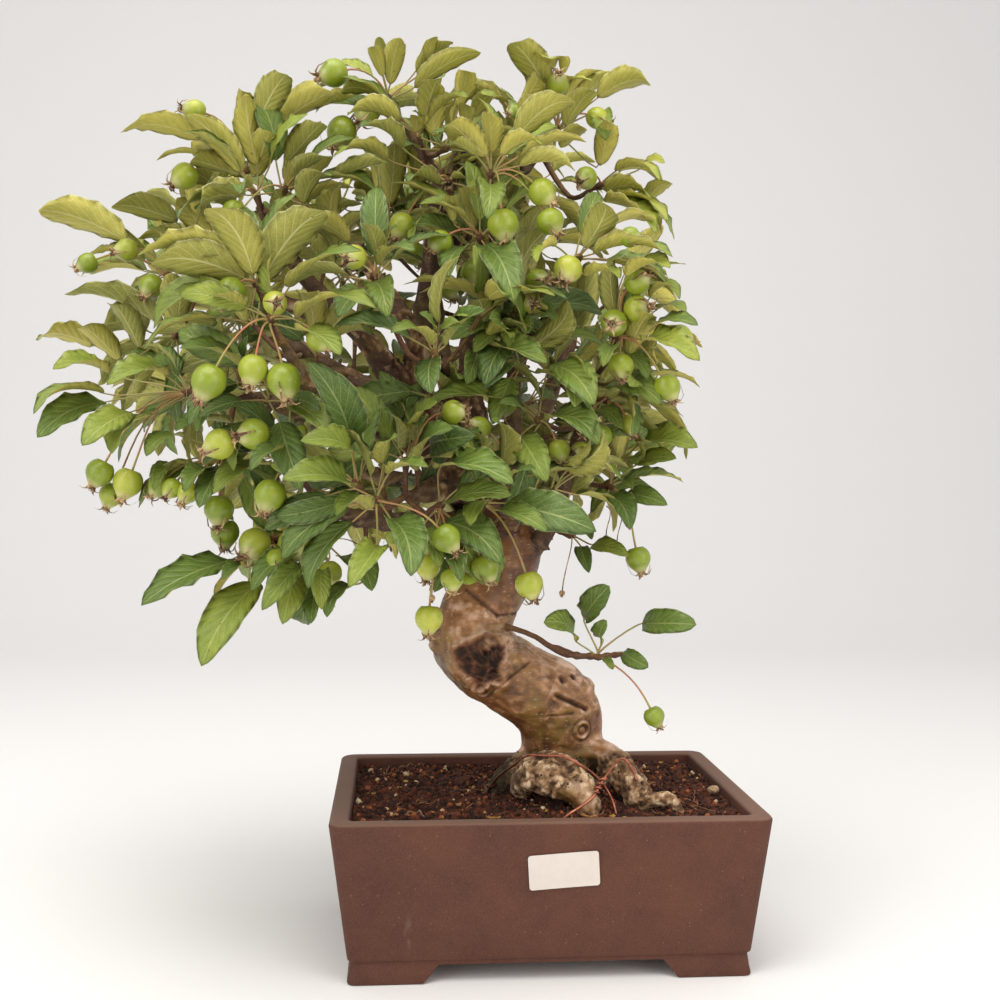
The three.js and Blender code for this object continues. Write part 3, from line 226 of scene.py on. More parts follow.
# Leafy sprays that show from the front. hub: where the leaf stalks meet.
# face: how far the blades' tops turn to the viewer. Where it is below 0, their undersides show.
# leaves: [u and v of the blade's foot, u and v of its tip, length]
# fruit: [u, v, diameter]
frontSprays = {
    "leader_tip": {
        "hub": [387, 97, -14],
        "face": -0.7,
        "leaves": [[390, 85, 400, 38, 44], [383, 77, 371, 46, 32], [414, 88, 481, 52, 50],
            [417, 69, 453, 37, 40], [376, 92, 341, 92, 28], [356, 101, 316, 112, 34]],
        "fruit": [[334, 73, 17.5], [367, 111, 17], [342, 131, 19]],
    },
    "crown_middle": {
        "hub": [446, 148, -22],
        "face": -0.6,
        "leaves": [[436, 137, 438, 82, 46], [459, 107, 467, 69, 44], [474, 117, 490, 96, 34],
            [466, 128, 463, 103, 32], [415, 133, 413, 115, 28]],
        "fruit": [],
    },
    "crown_right": {
        "hub": [491, 174, -68],
        "face": -0.5,
        "leaves": [[487, 157, 448, 124, 46], [491, 153, 487, 112, 42], [516, 139, 574, 101, 52],
            [500, 155, 542, 144, 36], [519, 166, 575, 171, 42], [476, 155, 448, 146, 32],
            [490, 184, 487, 217, 44]],
        "fruit": [[503, 224, 18.5], [542, 192, 16.5], [550, 221, 16.2]],
    },
    "high_right": {
        "hub": [557, 130, -16],
        "face": -0.8,
        "leaves": [[549, 93, 510, 43, 56], [566, 127, 595, 90, 48], [597, 98, 651, 84, 50],
            [600, 166, 608, 121, 44], [552, 158, 536, 121, 44], [561, 148, 585, 127, 34]],
        "fruit": [[558, 84, 14], [597, 118, 14]],
    },
    "far_right": {
        "hub": [600, 186, -22],
        "face": -0.4,
        "leaves": [[604, 190, 650, 199, 44], [615, 171, 660, 179, 44], [644, 203, 672, 182, 38],
            [604, 202, 657, 232, 56], [614, 198, 668, 221, 50]],
        "fruit": [[586, 178, 14.5]],
    },
    "right_shoulder": {
        "hub": [578, 258, -80],
        "face": -0.4,
        "leaves": [[584, 248, 606, 203, 50], [593, 254, 673, 257, 60], [584, 276, 620, 278, 40],
            [556, 246, 536, 262, 38]],
        "fruit": [[568, 269, 16.5]],
    },
    "right_cluster": {
        "hub": [616, 337, -72],
        "face": 0.6,
        "leaves": [[643, 340, 700, 361, 56], [650, 329, 698, 325, 48], [656, 310, 686, 312, 32],
            [650, 297, 680, 289, 32], [612, 345, 603, 366, 34], [624, 350, 648, 379, 34],
            [626, 277, 670, 267, 44]],
        "fruit": [[614, 323, 16], [637, 309, 15.8], [637, 282, 16], [680, 336, 13.5], [621, 366, 15.5],
            [667, 387, 16]],
    },
    "right_middle": {
        "hub": [606, 400, -46],
        "face": 0.5,
        "leaves": [[606, 386, 661, 403, 56], [612, 402, 638, 401, 32], [598, 410, 622, 428, 34]],
        "fruit": [[629, 425, 13]],
    },
    "right_inner": {
        "hub": [538, 420, -66],
        "face": 0.8,
        "leaves": [[551, 364, 594, 403, 54], [546, 419, 600, 444, 54], [520, 435, 547, 482, 50],
            [528, 417, 500, 402, 32]],
        "fruit": [[559, 450, 13]],
    },
    "low_right": {
        "hub": [610, 487, -42],
        "face": 0.9,
        "leaves": [[614, 469, 621, 437, 42], [637, 464, 676, 458, 42], [640, 443, 698, 448, 56],
            [626, 493, 667, 504, 40], [606, 496, 630, 529, 48]],
        "fruit": [[638, 558, 15.5]],
    },
    "low_right_twig": {
        "hub": [571, 535, -26],
        "face": 0.6,
        "leaves": [[581, 546, 589, 572, 28], [592, 545, 629, 556, 38]],
        "fruit": [],
    },
    "front_low": {
        "hub": [376, 500, -116],
        "face": 1.1,
        "leaves": [[388, 474, 428, 468, 42], [383, 463, 396, 436, 36], [390, 518, 411, 576, 60],
            [372, 508, 336, 516, 40], [377, 545, 349, 587, 56], [350, 486, 283, 478, 58]],
        "fruit": [[446, 538, 15.5]],
    },
    "dark_leaf": {
        "hub": [356, 484, -108],
        "face": 1.6,
        "leaves": [[351, 446, 309, 362, 62], [366, 459, 388, 453, 30], [352, 452, 300, 441, 48]],
        "fruit": [],
    },
    "low_middle": {
        "hub": [440, 506, -92],
        "face": 0.9,
        "leaves": [[438, 467, 514, 484, 62], [446, 502, 512, 496, 54], [441, 522, 501, 562, 56],
            [441, 541, 461, 580, 44], [422, 528, 440, 566, 40]],
        "fruit": [[428, 566, 14.5], [429, 618, 16], [485, 567, 16]],
    },
    "low_middle_right": {
        "hub": [484, 504, -96],
        "face": 0.9,
        "leaves": [[507, 503, 596, 530, 60], [496, 510, 548, 533, 44], [485, 500, 470, 525, 36],
            [498, 494, 536, 470, 42]],
        "fruit": [[529, 584, 16.3]],
    },
    "centre_low": {
        "hub": [503, 478, -70],
        "face": 1,
        "leaves": [[503, 468, 493, 419, 50], [482, 456, 472, 431, 32], [474, 454, 452, 417, 38]],
        "fruit": [[479, 428, 14]],
    },
    "centre_left": {
        "hub": [406, 462, -90],
        "face": 1.2,
        "leaves": [[410, 442, 437, 402, 46], [419, 470, 454, 429, 56], [398, 448, 384, 410, 42]],
        "fruit": [[453, 412, 14]],
    },
    "heart_leaf": {
        "hub": [434, 353, -98],
        "face": 1.2,
        "leaves": [[433, 357, 431, 394, 38], [430, 345, 391, 332, 40], [437, 337, 461, 326, 28],
            [450, 326, 472, 315, 32], [434, 336, 419, 313, 28], [446, 346, 485, 310, 44]],
        "fruit": [],
    },
    "centre_right": {
        "hub": [512, 318, -56],
        "face": 0.8,
        "leaves": [[514, 324, 509, 348, 36], [524, 314, 556, 320, 34], [508, 343, 485, 386, 50],
            [500, 330, 474, 352, 38]],
        "fruit": [],
    },
    "centre_top": {
        "hub": [480, 238, -62],
        "face": 0.7,
        "leaves": [[484, 244, 514, 302, 56], [453, 222, 451, 196, 32], [466, 246, 448, 276, 40]],
        "fruit": [[440, 242, 14.5]],
    },
    "upper_middle": {
        "hub": [448, 182, -40],
        "face": -0.5,
        "leaves": [[440, 184, 408, 182, 36], [452, 178, 472, 191, 32], [435, 218, 410, 241, 34],
            [402, 148, 358, 126, 50], [388, 160, 334, 155, 46]],
        "fruit": [[402, 225, 15.5]],
    },
    "upper_left": {
        "hub": [374, 277, -84],
        "face": 0.6,
        "leaves": [[380, 265, 415, 251, 40], [377, 256, 363, 222, 34], [384, 252, 396, 226, 28],
            [374, 281, 388, 316, 42], [366, 288, 338, 318, 44]],
        "fruit": [],
    },
    "big_olive": {
        "hub": [257, 284, -104],
        "face": -0.8,
        "leaves": [[233, 253, 138, 256, 62], [247, 279, 150, 262, 64], [253, 276, 206, 208, 62],
            [263, 281, 326, 212, 66], [245, 322, 210, 296, 38]],
        "fruit": [[231, 292, 16.5]],
    },
    "grey_leaves": {
        "hub": [270, 320, -120],
        "face": 0.8,
        "leaves": [[297, 318, 376, 306, 58], [289, 287, 360, 248, 56], [300, 330, 340, 356, 44]],
        "fruit": [[209, 381, 18.5], [253, 369, 16], [284, 380, 18.5], [275, 303, 13], [319, 339, 14]],
    },
    "top_left": {
        "hub": [246, 172, -30],
        "face": -0.8,
        "leaves": [[201, 139, 120, 133, 58], [238, 122, 242, 91, 36], [241, 175, 190, 160, 42],
            [255, 177, 270, 132, 48], [256, 128, 288, 73, 52], [264, 132, 334, 90, 60]],
        "fruit": [[195, 111, 14], [185, 176, 16]],
    },
    "left_shoulder": {
        "hub": [284, 190, -50],
        "face": -0.7,
        "leaves": [[287, 161, 323, 123, 48], [294, 177, 331, 158, 42], [246, 195, 176, 217, 54],
            [303, 204, 331, 174, 46], [333, 179, 387, 161, 42], [350, 242, 308, 224, 44]],
        "fruit": [[235, 220, 15]],
    },
    "far_left": {
        "hub": [168, 276, 4],
        "face": -0.6,
        "leaves": [[128, 242, 38, 211, 66], [178, 221, 112, 207, 54], [166, 331, 64, 294, 70],
            [186, 258, 148, 228, 44]],
        "fruit": [[88, 263, 13], [127, 250, 14.5], [151, 286, 15.5]],
    },
    "left_upper": {
        "hub": [176, 336, -24],
        "face": -0.3,
        "leaves": [[172, 328, 171, 272, 44], [179, 322, 188, 284, 42], [140, 348, 110, 302, 50],
            [120, 360, 80, 325, 50], [96, 346, 38, 340, 52]],
        "fruit": [[204, 335, 14.5]],
    },
    "left_tip": {
        "hub": [186, 393, -62],
        "face": 0.4,
        "leaves": [[167, 375, 107, 383, 56], [108, 373, 53, 368, 50], [104, 393, 33, 412, 54],
            [106, 402, 37, 438, 58], [131, 412, 82, 446, 50], [150, 415, 112, 453, 48],
            [230, 423, 176, 432, 52]],
        "fruit": [[100, 472, 16], [128, 482, 17.5], [112, 494, 15]],
    },
    "left_low": {
        "hub": [222, 460, -66],
        "face": 0.8,
        "leaves": [[221, 465, 199, 507, 46], [207, 468, 184, 491, 42], [174, 463, 154, 490, 34],
            [182, 436, 146, 455, 42], [268, 464, 213, 493, 54]],
        "fruit": [[161, 485, 14], [188, 492, 13], [219, 509, 17], [225, 532, 16.5]],
    },
    "left_fruit": {
        "hub": [290, 458, -104],
        "face": 1,
        "leaves": [[292, 400, 320, 410, 30], [284, 450, 250, 470, 36], [276, 440, 236, 404, 44]],
        "fruit": [[220, 444, 17], [254, 434, 17.5], [270, 495, 17.5]],
    },
    "low_left": {
        "hub": [270, 540, -70],
        "face": 1.1,
        "leaves": [[231, 560, 141, 605, 66], [260, 582, 201, 666, 68], [246, 568, 222, 580, 34]],
        "fruit": [[255, 544, 19], [294, 545, 19]],
    },
    "low_left_inner": {
        "hub": [322, 546, -74],
        "face": 1.1,
        "leaves": [[298, 571, 283, 623, 46], [319, 582, 311, 624, 38], [340, 556, 372, 592, 46]],
        "fruit": [[330, 573, 14]],
    },
}

# The young shoot low on the trunk's right: its own line, leaves and fruit.
sideShootLine = [
    [486, 634, -18, 2.4], [514, 635, -28, 2.3], [540, 638, -37, 2], [563, 652, -42, 2.4],
    [590, 657, -46, 2.2], [612, 656, -48, 1.9], [632, 651, -50, 1.6],
]
sideShoot = {
    "hub": [600, 657, -47],
    "face": 0.7,
    "leaves": [[583, 618, 609, 586, 38], [575, 640, 543, 623, 34], [603, 639, 606, 621, 30],
        [642, 623, 695, 624, 50], [623, 652, 648, 667, 30], [604, 658, 613, 669, 18]],
    "fruit": [[654, 716, 13]],
}

# The crown's outline as seen. Nothing that is placed by rule shows outside it.
crownOutline = [
    [372, 30], [440, 22], [490, 40], [545, 38], [600, 66], [660, 78], [648, 120], [680, 165], [670, 220],
    [692, 275], [712, 362], [690, 420], [698, 452], [672, 512], [645, 530], [590, 545], [545, 600],
    [500, 585], [440, 600], [400, 585], [330, 625], [205, 672], [140, 610], [190, 545], [110, 515],
    [80, 470], [30, 442], [28, 335], [62, 290], [34, 206], [110, 190], [118, 126], [180, 95], [250, 72],
    [320, 58],
]


# Materials

def paint(red, green, blue):
    # A colour from 0 to 255 a channel, as the shader takes it
    shares = [c / 255 for c in (red, green, blue)]
    return (*[s / 12.92 if s <= 0.04045 else ((s + 0.055) / 1.055) ** 2.4 for s in shares], 1)


def feed(tree, node, inputs):
    for key, value in inputs.items():
        if isinstance(value, bpy.types.NodeSocket):
            tree.links.new(value, node.inputs[key])
        else:
            node.inputs[key].default_value = value


def addNode(tree, kind, inputs=None, **settings):
    node = tree.nodes.new(kind)
    for key, value in settings.items():
        setattr(node, key, value)
    feed(tree, node, inputs or {})
    return node


def mixed(tree, factor, a, b, blendType="MIX"):
    inputs = {0: factor, 6: a, 7: b}
    return addNode(tree, "ShaderNodeMix", inputs, data_type="RGBA", blend_type=blendType).outputs[2]


def laid(tree, base, where, share, colour):
    # The colour laid over the base as far as a texture and a share say
    return mixed(tree, times(tree, where, share), base, paint(*colour))


def maths(tree, operation, a, b=0.0, c=0.0):
    return addNode(tree, "ShaderNodeMath", {0: a, 1: b, 2: c}, operation=operation).outputs[0]


def times(tree, a, b):
    return maths(tree, "MULTIPLY", a, b)


def timesAdd(tree, a, b, c):
    return maths(tree, "MULTIPLY_ADD", a, b, c)


def between(tree, value, low, high, outLow=0.0, outHigh=1.0):
    inputs = {0: value, 1: low, 2: high, 3: outLow, 4: outHigh}
    return addNode(tree, "ShaderNodeMapRange", inputs, interpolation_type="SMOOTHSTEP").outputs[0]


def ramp(tree, factor, stops):
    # stops: place, red, green, blue
    node = addNode(tree, "ShaderNodeValToRGB", {0: factor})
    elements = node.color_ramp.elements
    elements[0].position, elements[1].position = stops[0][0], stops[-1][0]
    for stop in stops[1:-1]:
        elements.new(stop[0])
    for element, stop in zip(elements, stops):
        element.color = paint(*stop[1:])
    return node.outputs[0]


def speckle(tree, scale, detail=4.0, roughness=0.6, vector=None, distortion=0.0):
    place = vector or addNode(tree, "ShaderNodeTexCoord").outputs["Object"]
    inputs = {"Vector": place, "Scale": scale, "Detail": detail, "Roughness": roughness}
    inputs["Distortion"] = distortion
    return addNode(tree, "ShaderNodeTexNoise", inputs).outputs[0]


def edgeDistance(tree, place, scale):
    # From the edges of irregular cells
    inputs = {"Vector": place, "Scale": scale}
    return addNode(tree, "ShaderNodeTexVoronoi", inputs, feature="DISTANCE_TO_EDGE").outputs["Distance"]


def normalHeight(tree):
    # 1 where the surface faces up, -1 where it faces down
    normal = addNode(tree, "ShaderNodeNewGeometry").outputs["Normal"]
    return addNode(tree, "ShaderNodeSeparateXYZ", {0: normal}).outputs[2]


def newGroup(name, inputs, outputs):
    group = bpy.data.node_groups.new(name, "ShaderNodeTree")
    for label, default in inputs.items():
        kind = "NodeSocketVector" if default is None else "NodeSocketFloat"
        socket = group.interface.new_socket(label, in_out="INPUT", socket_type=kind)
        if default is not None:
            socket.default_value = default
    for label in outputs:
        group.interface.new_socket(label, in_out="OUTPUT", socket_type="NodeSocketFloat")
    given = group.nodes.new("NodeGroupInput").outputs
    result = group.nodes.new("NodeGroupOutput").inputs
    return group, given, result


def useGroup(tree, group, inputs):
    node = tree.nodes.new("ShaderNodeGroup")
    node.node_tree = group
    feed(tree, node, inputs)
    return node.outputs


def mottleGroup():
    # Soft patches of two sizes, for anything that isn't one even colour
    inputs = {"Place": None, "Scale": 20.0, "Low": 0.35, "High": 0.65}
    group, given, result = newGroup("mottle", inputs, ["Patches"])
    large = speckle(group, given["Scale"], vector=given["Place"])
    smallScale = times(group, given["Scale"], 5.3)
    small = speckle(group, smallScale, vector=given["Place"])
    both = timesAdd(group, small, 0.35, times(group, large, 0.65))
    group.links.new(between(group, both, given["Low"], given["High"]), result["Patches"])
    return group


def fleckGroup():
    # Scattered small flecks, such as grit in clay, lenticels in bark and dots on fruit
    inputs = {"Place": None, "Scale": 300.0, "Size": 0.2, "Share": 0.3}
    group, given, result = newGroup("flecks", inputs, ["Flecks"])
    inputs = {"Vector": given["Place"], "Scale": given["Scale"], "Randomness": 1.0}
    cells = addNode(group, "ShaderNodeTexVoronoi", inputs, feature="F1")
    core = times(group, given["Size"], 0.5)
    near = between(group, cells.outputs["Distance"], given["Size"], core)
    chosen = addNode(group, "ShaderNodeSeparateColor", {0: cells.outputs["Color"]}).outputs[0]
    kept = maths(group, "LESS_THAN", chosen, given["Share"])
    group.links.new(times(group, near, kept), result["Flecks"])
    return group


def veinGroup():
    # A leaf's midrib, side veins and the fine net between them, from its own UV: u across, v along
    inputs = {"Place": None, "Pairs": 8.0, "Slant": 0.4}
    group, given, result = newGroup("leafVeins", inputs, ["Veins", "Relief"])
    parts = addNode(group, "ShaderNodeSeparateXYZ", {0: given["Place"]}).outputs
    out = maths(group, "ABSOLUTE", timesAdd(group, parts[0], 2.0, -1.0))
    midrib = between(group, out, 0.085, 0.015)
    slant = times(group, given["Slant"], timesAdd(group, out, -0.25, 1.0))
    slanted = maths(group, "SUBTRACT", parts[1], times(group, out, slant))
    wave = maths(group, "PINGPONG", times(group, slanted, given["Pairs"]), 0.5)
    fading = timesAdd(group, out, -0.45, 1.0)
    side = times(group, between(group, wave, 0.10, 0.02), fading)
    net = edgeDistance(group, given["Place"], 26.0)
    fine = times(group, between(group, net, 0.12, 0.02), 0.3)
    side = times(group, side, 0.75)
    veins = maths(group, "MAXIMUM", midrib, maths(group, "MAXIMUM", side, fine))
    group.links.new(veins, result["Veins"])
    pillow = between(group, wave, 0.0, 0.5)
    relief = maths(group, "SUBTRACT", times(group, pillow, 0.8), veins)
    group.links.new(relief, result["Relief"])
    return group


mottle, flecks, leafVeins = mottleGroup(), fleckGroup(), veinGroup()


def patchesOn(tree, place, scale, low, high):
    inputs = {"Place": place, "Scale": scale, "Low": low, "High": high}
    return useGroup(tree, mottle, inputs)["Patches"]


def flecksOn(tree, place, scale, size, share):
    inputs = {"Place": place, "Scale": scale, "Size": size, "Share": share}
    return useGroup(tree, flecks, inputs)["Flecks"]


def newMaterial(name, **values):
    material = bpy.data.materials.new(name)
    material.use_nodes = True
    shader = material.node_tree.nodes["Principled BSDF"]
    for key, value in values.items():
        shader.inputs[key.replace("_", " ")].default_value = value
    return material, material.node_tree, shader.inputs


def bumped(tree, inputs, height, strength, distance):
    values = {"Height": height, "Strength": strength, "Distance": distance}
    tree.links.new(addNode(tree, "ShaderNodeBump", values).outputs[0], inputs["Normal"])


def objectPlace(tree, stretch=(1, 1, 1)):
    place = addNode(tree, "ShaderNodeTexCoord").outputs["Object"]
    return addNode(tree, "ShaderNodeMapping", {"Vector": place, "Scale": stretch}).outputs[0]


def attribute(tree, name):
    colour = addNode(tree, "ShaderNodeAttribute", attribute_name=name).outputs["Color"]
    return addNode(tree, "ShaderNodeSeparateColor", {0: colour}).outputs


def leafMaterial(name, tones, veinColour, veinShare, relief, roughness):
    material, tree, inputs = newMaterial(name, Roughness=roughness)
    uv = addNode(tree, "ShaderNodeUVMap", uv_map="grain").outputs[0]
    tint = attribute(tree, "tint")
    place = objectPlace(tree)
    patches = patchesOn(tree, place, 60.0, 0.3, 0.7)
    tone = timesAdd(tree, maths(tree, "SUBTRACT", patches, 0.5), 0.22, tint[0])
    base = ramp(tree, tone, tones)
    veined = useGroup(tree, leafVeins, {"Place": uv, "Pairs": 8.0, "Slant": 0.42})
    share = times(tree, veined["Veins"], veinShare)
    colour = mixed(tree, share, base, veinColour)
    parts = addNode(tree, "ShaderNodeSeparateXYZ", {0: uv}).outputs
    out = maths(tree, "ABSOLUTE", timesAdd(tree, parts[0], 2.0, -1.0))
    margin = times(tree, between(tree, out, 0.88, 0.98), 0.5)
    colour = mixed(tree, margin, colour, veinColour)
    spots = flecksOn(tree, place, 190.0, 0.16, 0.05)
    worn = times(tree, spots, tint[2])
    tree.links.new(mixed(tree, worn, colour, paint(120, 84, 44)), inputs["Base Color"])
    rough = timesAdd(tree, patches, 0.16, roughness - 0.08)
    tree.links.new(rough, inputs["Roughness"])
    bumped(tree, inputs, veined["Relief"], relief, 0.0006)
    return material


leafTop = leafMaterial(
    "leafTop",
    [(0, 56, 86, 30), (0.35, 92, 117, 38), (0.7, 140, 153, 48), (1, 190, 188, 72)],
    paint(196, 204, 130), 0.4, 0.6, 0.42,
)
# The undersides are painted light: their tones are raised to stand in for light that shines through the
# leaf
leafBack = leafMaterial(
    "leafBack",
    [(0, 134, 139, 60), (0.4, 169, 165, 70), (0.75, 200, 188, 80), (1, 224, 210, 104)],
    paint(240, 234, 172), 0.56, 0.5, 0.58,
)


def stalkMaterial(name, low, high, scale=45.0, roughness=0.5):
    material, tree, inputs = newMaterial(name, Roughness=roughness)
    place = objectPlace(tree)
    patches = patchesOn(tree, place, scale, 0.38, 0.62)
    tree.links.new(mixed(tree, patches, paint(*low), paint(*high)), inputs["Base Color"])
    bumped(tree, inputs, speckle(tree, 900.0, vector=place), 0.15, 0.0003)
    return material


leafStalk = stalkMaterial("leafStalk", (150, 152, 84), (176, 142, 92))
fruitStalk = stalkMaterial("fruitStalk", (164, 160, 86), (190, 120, 92))
driedCalyx = stalkMaterial("driedCalyx", (86, 50, 32), (206, 174, 128), 150.0, 0.85)


def fruitMaterial():
    gloss = {"Roughness": 0.34, "Coat_Weight": 0.2, "Coat_Roughness": 0.22}
    material, tree, inputs = newMaterial("fruitSkin", **gloss)
    uv = addNode(tree, "ShaderNodeUVMap", uv_map="grain").outputs[0]
    along = addNode(tree, "ShaderNodeSeparateXYZ", {0: uv}).outputs[1]
    tint = attribute(tree, "tint")
    place = objectPlace(tree)
    patches = patchesOn(tree, place, 45.0, 0.3, 0.7)
    tone = timesAdd(tree, patches, 0.4, times(tree, tint[0], 0.6))
    base = ramp(tree, tone, [(0, 110, 131, 29), (0.5, 147, 161, 43), (1, 184, 185, 69)])
    end = times(tree, between(tree, along, 0.8, 1.0), 0.85)
    colour = mixed(tree, end, base, paint(206, 200, 144))
    dots = flecksOn(tree, place, 620.0, 0.2, 0.35)
    colour = laid(tree, colour, dots, 0.35, (206, 212, 150))
    spots = flecksOn(tree, place, 160.0, 0.13, 0.07)
    colour = laid(tree, colour, spots, 0.8, (96, 72, 40))
    tree.links.new(colour, inputs["Base Color"])
    tree.links.new(timesAdd(tree, patches, 0.16, 0.3), inputs["Roughness"])
    bumped(tree, inputs, speckle(tree, 500.0, vector=place), 0.06, 0.0003)
    return material


fruitSkin = fruitMaterial()


def barkMaterial(name, tones, roughTones, fineScale, gloss=0.0):
    # wear, from the mesh: red an old wound, and painted shade in the trunk's folds, green rough old
    # bark, blue moss and dirt.
    # relief: red is high on the ridges and low in the hollows and at the top of the trunk, and sets the
    # bark's tone, which paints shade there; green wanders slowly over the wood.
    material, tree, inputs = newMaterial(name, Roughness=0.8)
    place = objectPlace(tree)
    wear, relief = attribute(tree, "wear"), attribute(tree, "relief")
    broad = patchesOn(tree, place, 16.0, 0.34, 0.66)
    # Painted light: the bark is lighter where it faces up and darker where it faces down
    sunny = normalHeight(tree)
    # Painted shade: the tone follows relief red, darker in the hollows and at the top of the trunk under
    # the crown
    tone = timesAdd(tree, broad, 0.36, timesAdd(tree, relief[0], 0.4, -0.12))
    tone = maths(tree, "ADD", tone, between(tree, sunny, -0.7, 0.9, 0.0, 0.5))
    smooth = ramp(tree, tone, tones)
    upright = objectPlace(tree, (1, 1, 1.4))
    green = patchesOn(tree, upright, 22.0, 0.48, 0.62)
    smooth = laid(tree, smooth, green, 0.5, (138, 116, 50))
    streaks = speckle(tree, 60.0, 6.0, 0.7, objectPlace(tree, (1, 1, 3.2)))
    streaked = between(tree, streaks, 0.46, 0.72, 0.0, 0.6)
    smooth = mixed(tree, streaked, smooth, paint(*tones[0][1:]), "MULTIPLY")
    level = objectPlace(tree, (0.6, 0.6, 1.9))
    lenticels = flecksOn(tree, level, fineScale, 0.3, 0.4)
    smooth = laid(tree, smooth, lenticels, 0.4, (206, 184, 156))
    grain = speckle(tree, 230.0, 8.0, 0.72, place)
    # The rough bark's tone follows relief red too, with painted shade in its hollows
    worn = timesAdd(tree, maths(tree, "SUBTRACT", grain, 0.5), 1.1, relief[0])
    rough = ramp(tree, worn, roughTones)
    cracks = edgeDistance(tree, objectPlace(tree, (1.3, 1.3, 0.8)), 210.0)
    rough = mixed(tree, between(tree, cracks, 0.12, 0.02, 0.0, 0.3), rough, paint(58, 40, 27))
    colour = mixed(tree, wear[1], smooth, rough)
    torn = timesAdd(tree, maths(tree, "SUBTRACT", relief[0], 0.4), 0.5, grain)
    woundAndCreaseShade = ramp(tree, torn, [(0.32, 40, 20, 12), (0.54, 76, 43, 27), (0.8, 126, 82, 54)])
    colour = mixed(tree, wear[0], colour, woundAndCreaseShade)
    dirt = ramp(tree, grain, [(0.35, 36, 25, 16), (0.55, 70, 54, 34), (0.72, 126, 110, 74)])
    tree.links.new(mixed(tree, wear[2], colour, dirt), inputs["Base Color"])
    dull = maths(tree, "MAXIMUM", wear[1], maths(tree, "MAXIMUM", wear[0], wear[2]))
    tree.links.new(between(tree, dull, 0.0, 1.0, 0.8 - gloss, 0.9), inputs["Roughness"])
    height = timesAdd(tree, grain, 0.7, times(tree, streaks, 0.5))
    deep = times(tree, between(tree, cracks, 0.0, 0.2), wear[1])
    bumped(tree, inputs, timesAdd(tree, deep, 0.8, height), 0.6, 0.0007)
    return material


trunkBark = barkMaterial(
    "trunkBark",
    [(0.1, 82, 48, 25), (0.36, 124, 80, 44), (0.6, 168, 120, 79), (0.92, 236, 198, 172)],
    [(0.1, 58, 38, 24), (0.36, 116, 84, 55), (0.62, 166, 130, 94), (0.9, 220, 192, 158)],
    420.0, 0.36,
)
branchBark = barkMaterial(
    "branchBark",
    [(0.0, 70, 48, 36), (0.5, 98, 70, 52), (1.0, 134, 104, 82)],
    [(0.3, 60, 46, 36), (0.6, 110, 88, 70), (0.8, 150, 128, 104)], 620.0,
)
twigBark = barkMaterial(
    "twigBark",
    [(0.0, 84, 54, 38), (0.5, 118, 78, 52), (1.0, 150, 112, 80)],
    [(0.3, 72, 50, 38), (0.6, 118, 88, 66), (0.8, 156, 128, 100)], 900.0,
)


def potMaterial():
    material, tree, inputs = newMaterial("stoneware", Roughness=0.75, Specular_IOR_Level=0.3)
    place = objectPlace(tree)
    broad = patchesOn(tree, place, 9.0, 0.3, 0.7)
    colour = ramp(tree, broad, [(0, 70, 39, 28), (0.5, 82, 47, 35), (1, 93, 57, 44)])
    grain = speckle(tree, 1400.0, 3.0, 0.6, place)
    colour = mixed(tree, between(tree, grain, 0.4, 0.75, 0.0, 0.26), colour, paint(128, 92, 74))
    grit = flecksOn(tree, place, 330.0, 0.17, 0.12)
    colour = laid(tree, colour, grit, 0.34, (160, 130, 110))
    drawnDown = objectPlace(tree, (1, 1, 0.5))
    lime = patchesOn(tree, drawnDown, 34.0, 0.6, 0.78)
    colour = laid(tree, colour, lime, 0.36, (164, 142, 128))
    scrape = speckle(tree, 75.0, 9.0, 0.8, objectPlace(tree, (1, 1, 0.45)), 1.6)
    scuffs = times(tree, between(tree, scrape, 0.6, 0.68), lime)
    colour = laid(tree, colour, scuffs, 0.55, (190, 166, 146))
    facing = normalHeight(tree)
    dusty = times(tree, between(tree, facing, 0.35, 0.95), 0.42)
    tree.links.new(mixed(tree, dusty, colour, paint(152, 122, 104)), inputs["Base Color"])
    tree.links.new(timesAdd(tree, broad, 0.14, 0.62), inputs["Roughness"])
    bumped(tree, inputs, timesAdd(tree, grit, 0.6, grain), 0.22, 0.0005)
    return material


stoneware = potMaterial()


def tintedMaterial(name, tones, roughness, scale, strength):
    # Loose bits, each of its own tone: tint red picks the tone
    material, tree, inputs = newMaterial(name, Roughness=roughness)
    place = objectPlace(tree)
    grain = speckle(tree, scale, 5.0, 0.7, place)
    tone = timesAdd(tree, maths(tree, "SUBTRACT", grain, 0.5), 0.4, attribute(tree, "tint")[0])
    tree.links.new(ramp(tree, tone, tones), inputs["Base Color"])
    bumped(tree, inputs, grain, strength, 0.0008)
    return material


soilEarth = tintedMaterial(
    "soilEarth",
    [(0, 22, 9, 4), (0.3, 58, 25, 11), (0.55, 114, 56, 26), (0.75, 164, 96, 52),
        (0.88, 198, 154, 108), (1, 230, 208, 172)],
    0.95, 700.0, 0.9,
)
mossGreen = tintedMaterial(
    "mossGreen", [(0, 24, 24, 14), (0.5, 60, 68, 30), (1, 128, 130, 70)], 0.95, 900.0, 0.6)
rootFibre = stalkMaterial("rootFibre", (96, 62, 44), (160, 116, 84), 90.0, 0.8)
deadLeaf = stalkMaterial("deadLeaf", (186, 150, 58), (160, 104, 66), 120.0, 0.7)
pebbleStone = stalkMaterial("pebbleStone", (150, 118, 84), (192, 164, 130), 330.0, 0.85)
blankPaper = stalkMaterial("blankPaper", (212, 202, 193), (215, 206, 197), 60.0, 0.5)
screenMesh = stalkMaterial("screenMesh", (34, 34, 34), (48, 47, 45), 400.0, 0.7)


copperLook = {"fresh": 0.08, "dull": 0.066}  # where the wire turns dull towards the left, in metres


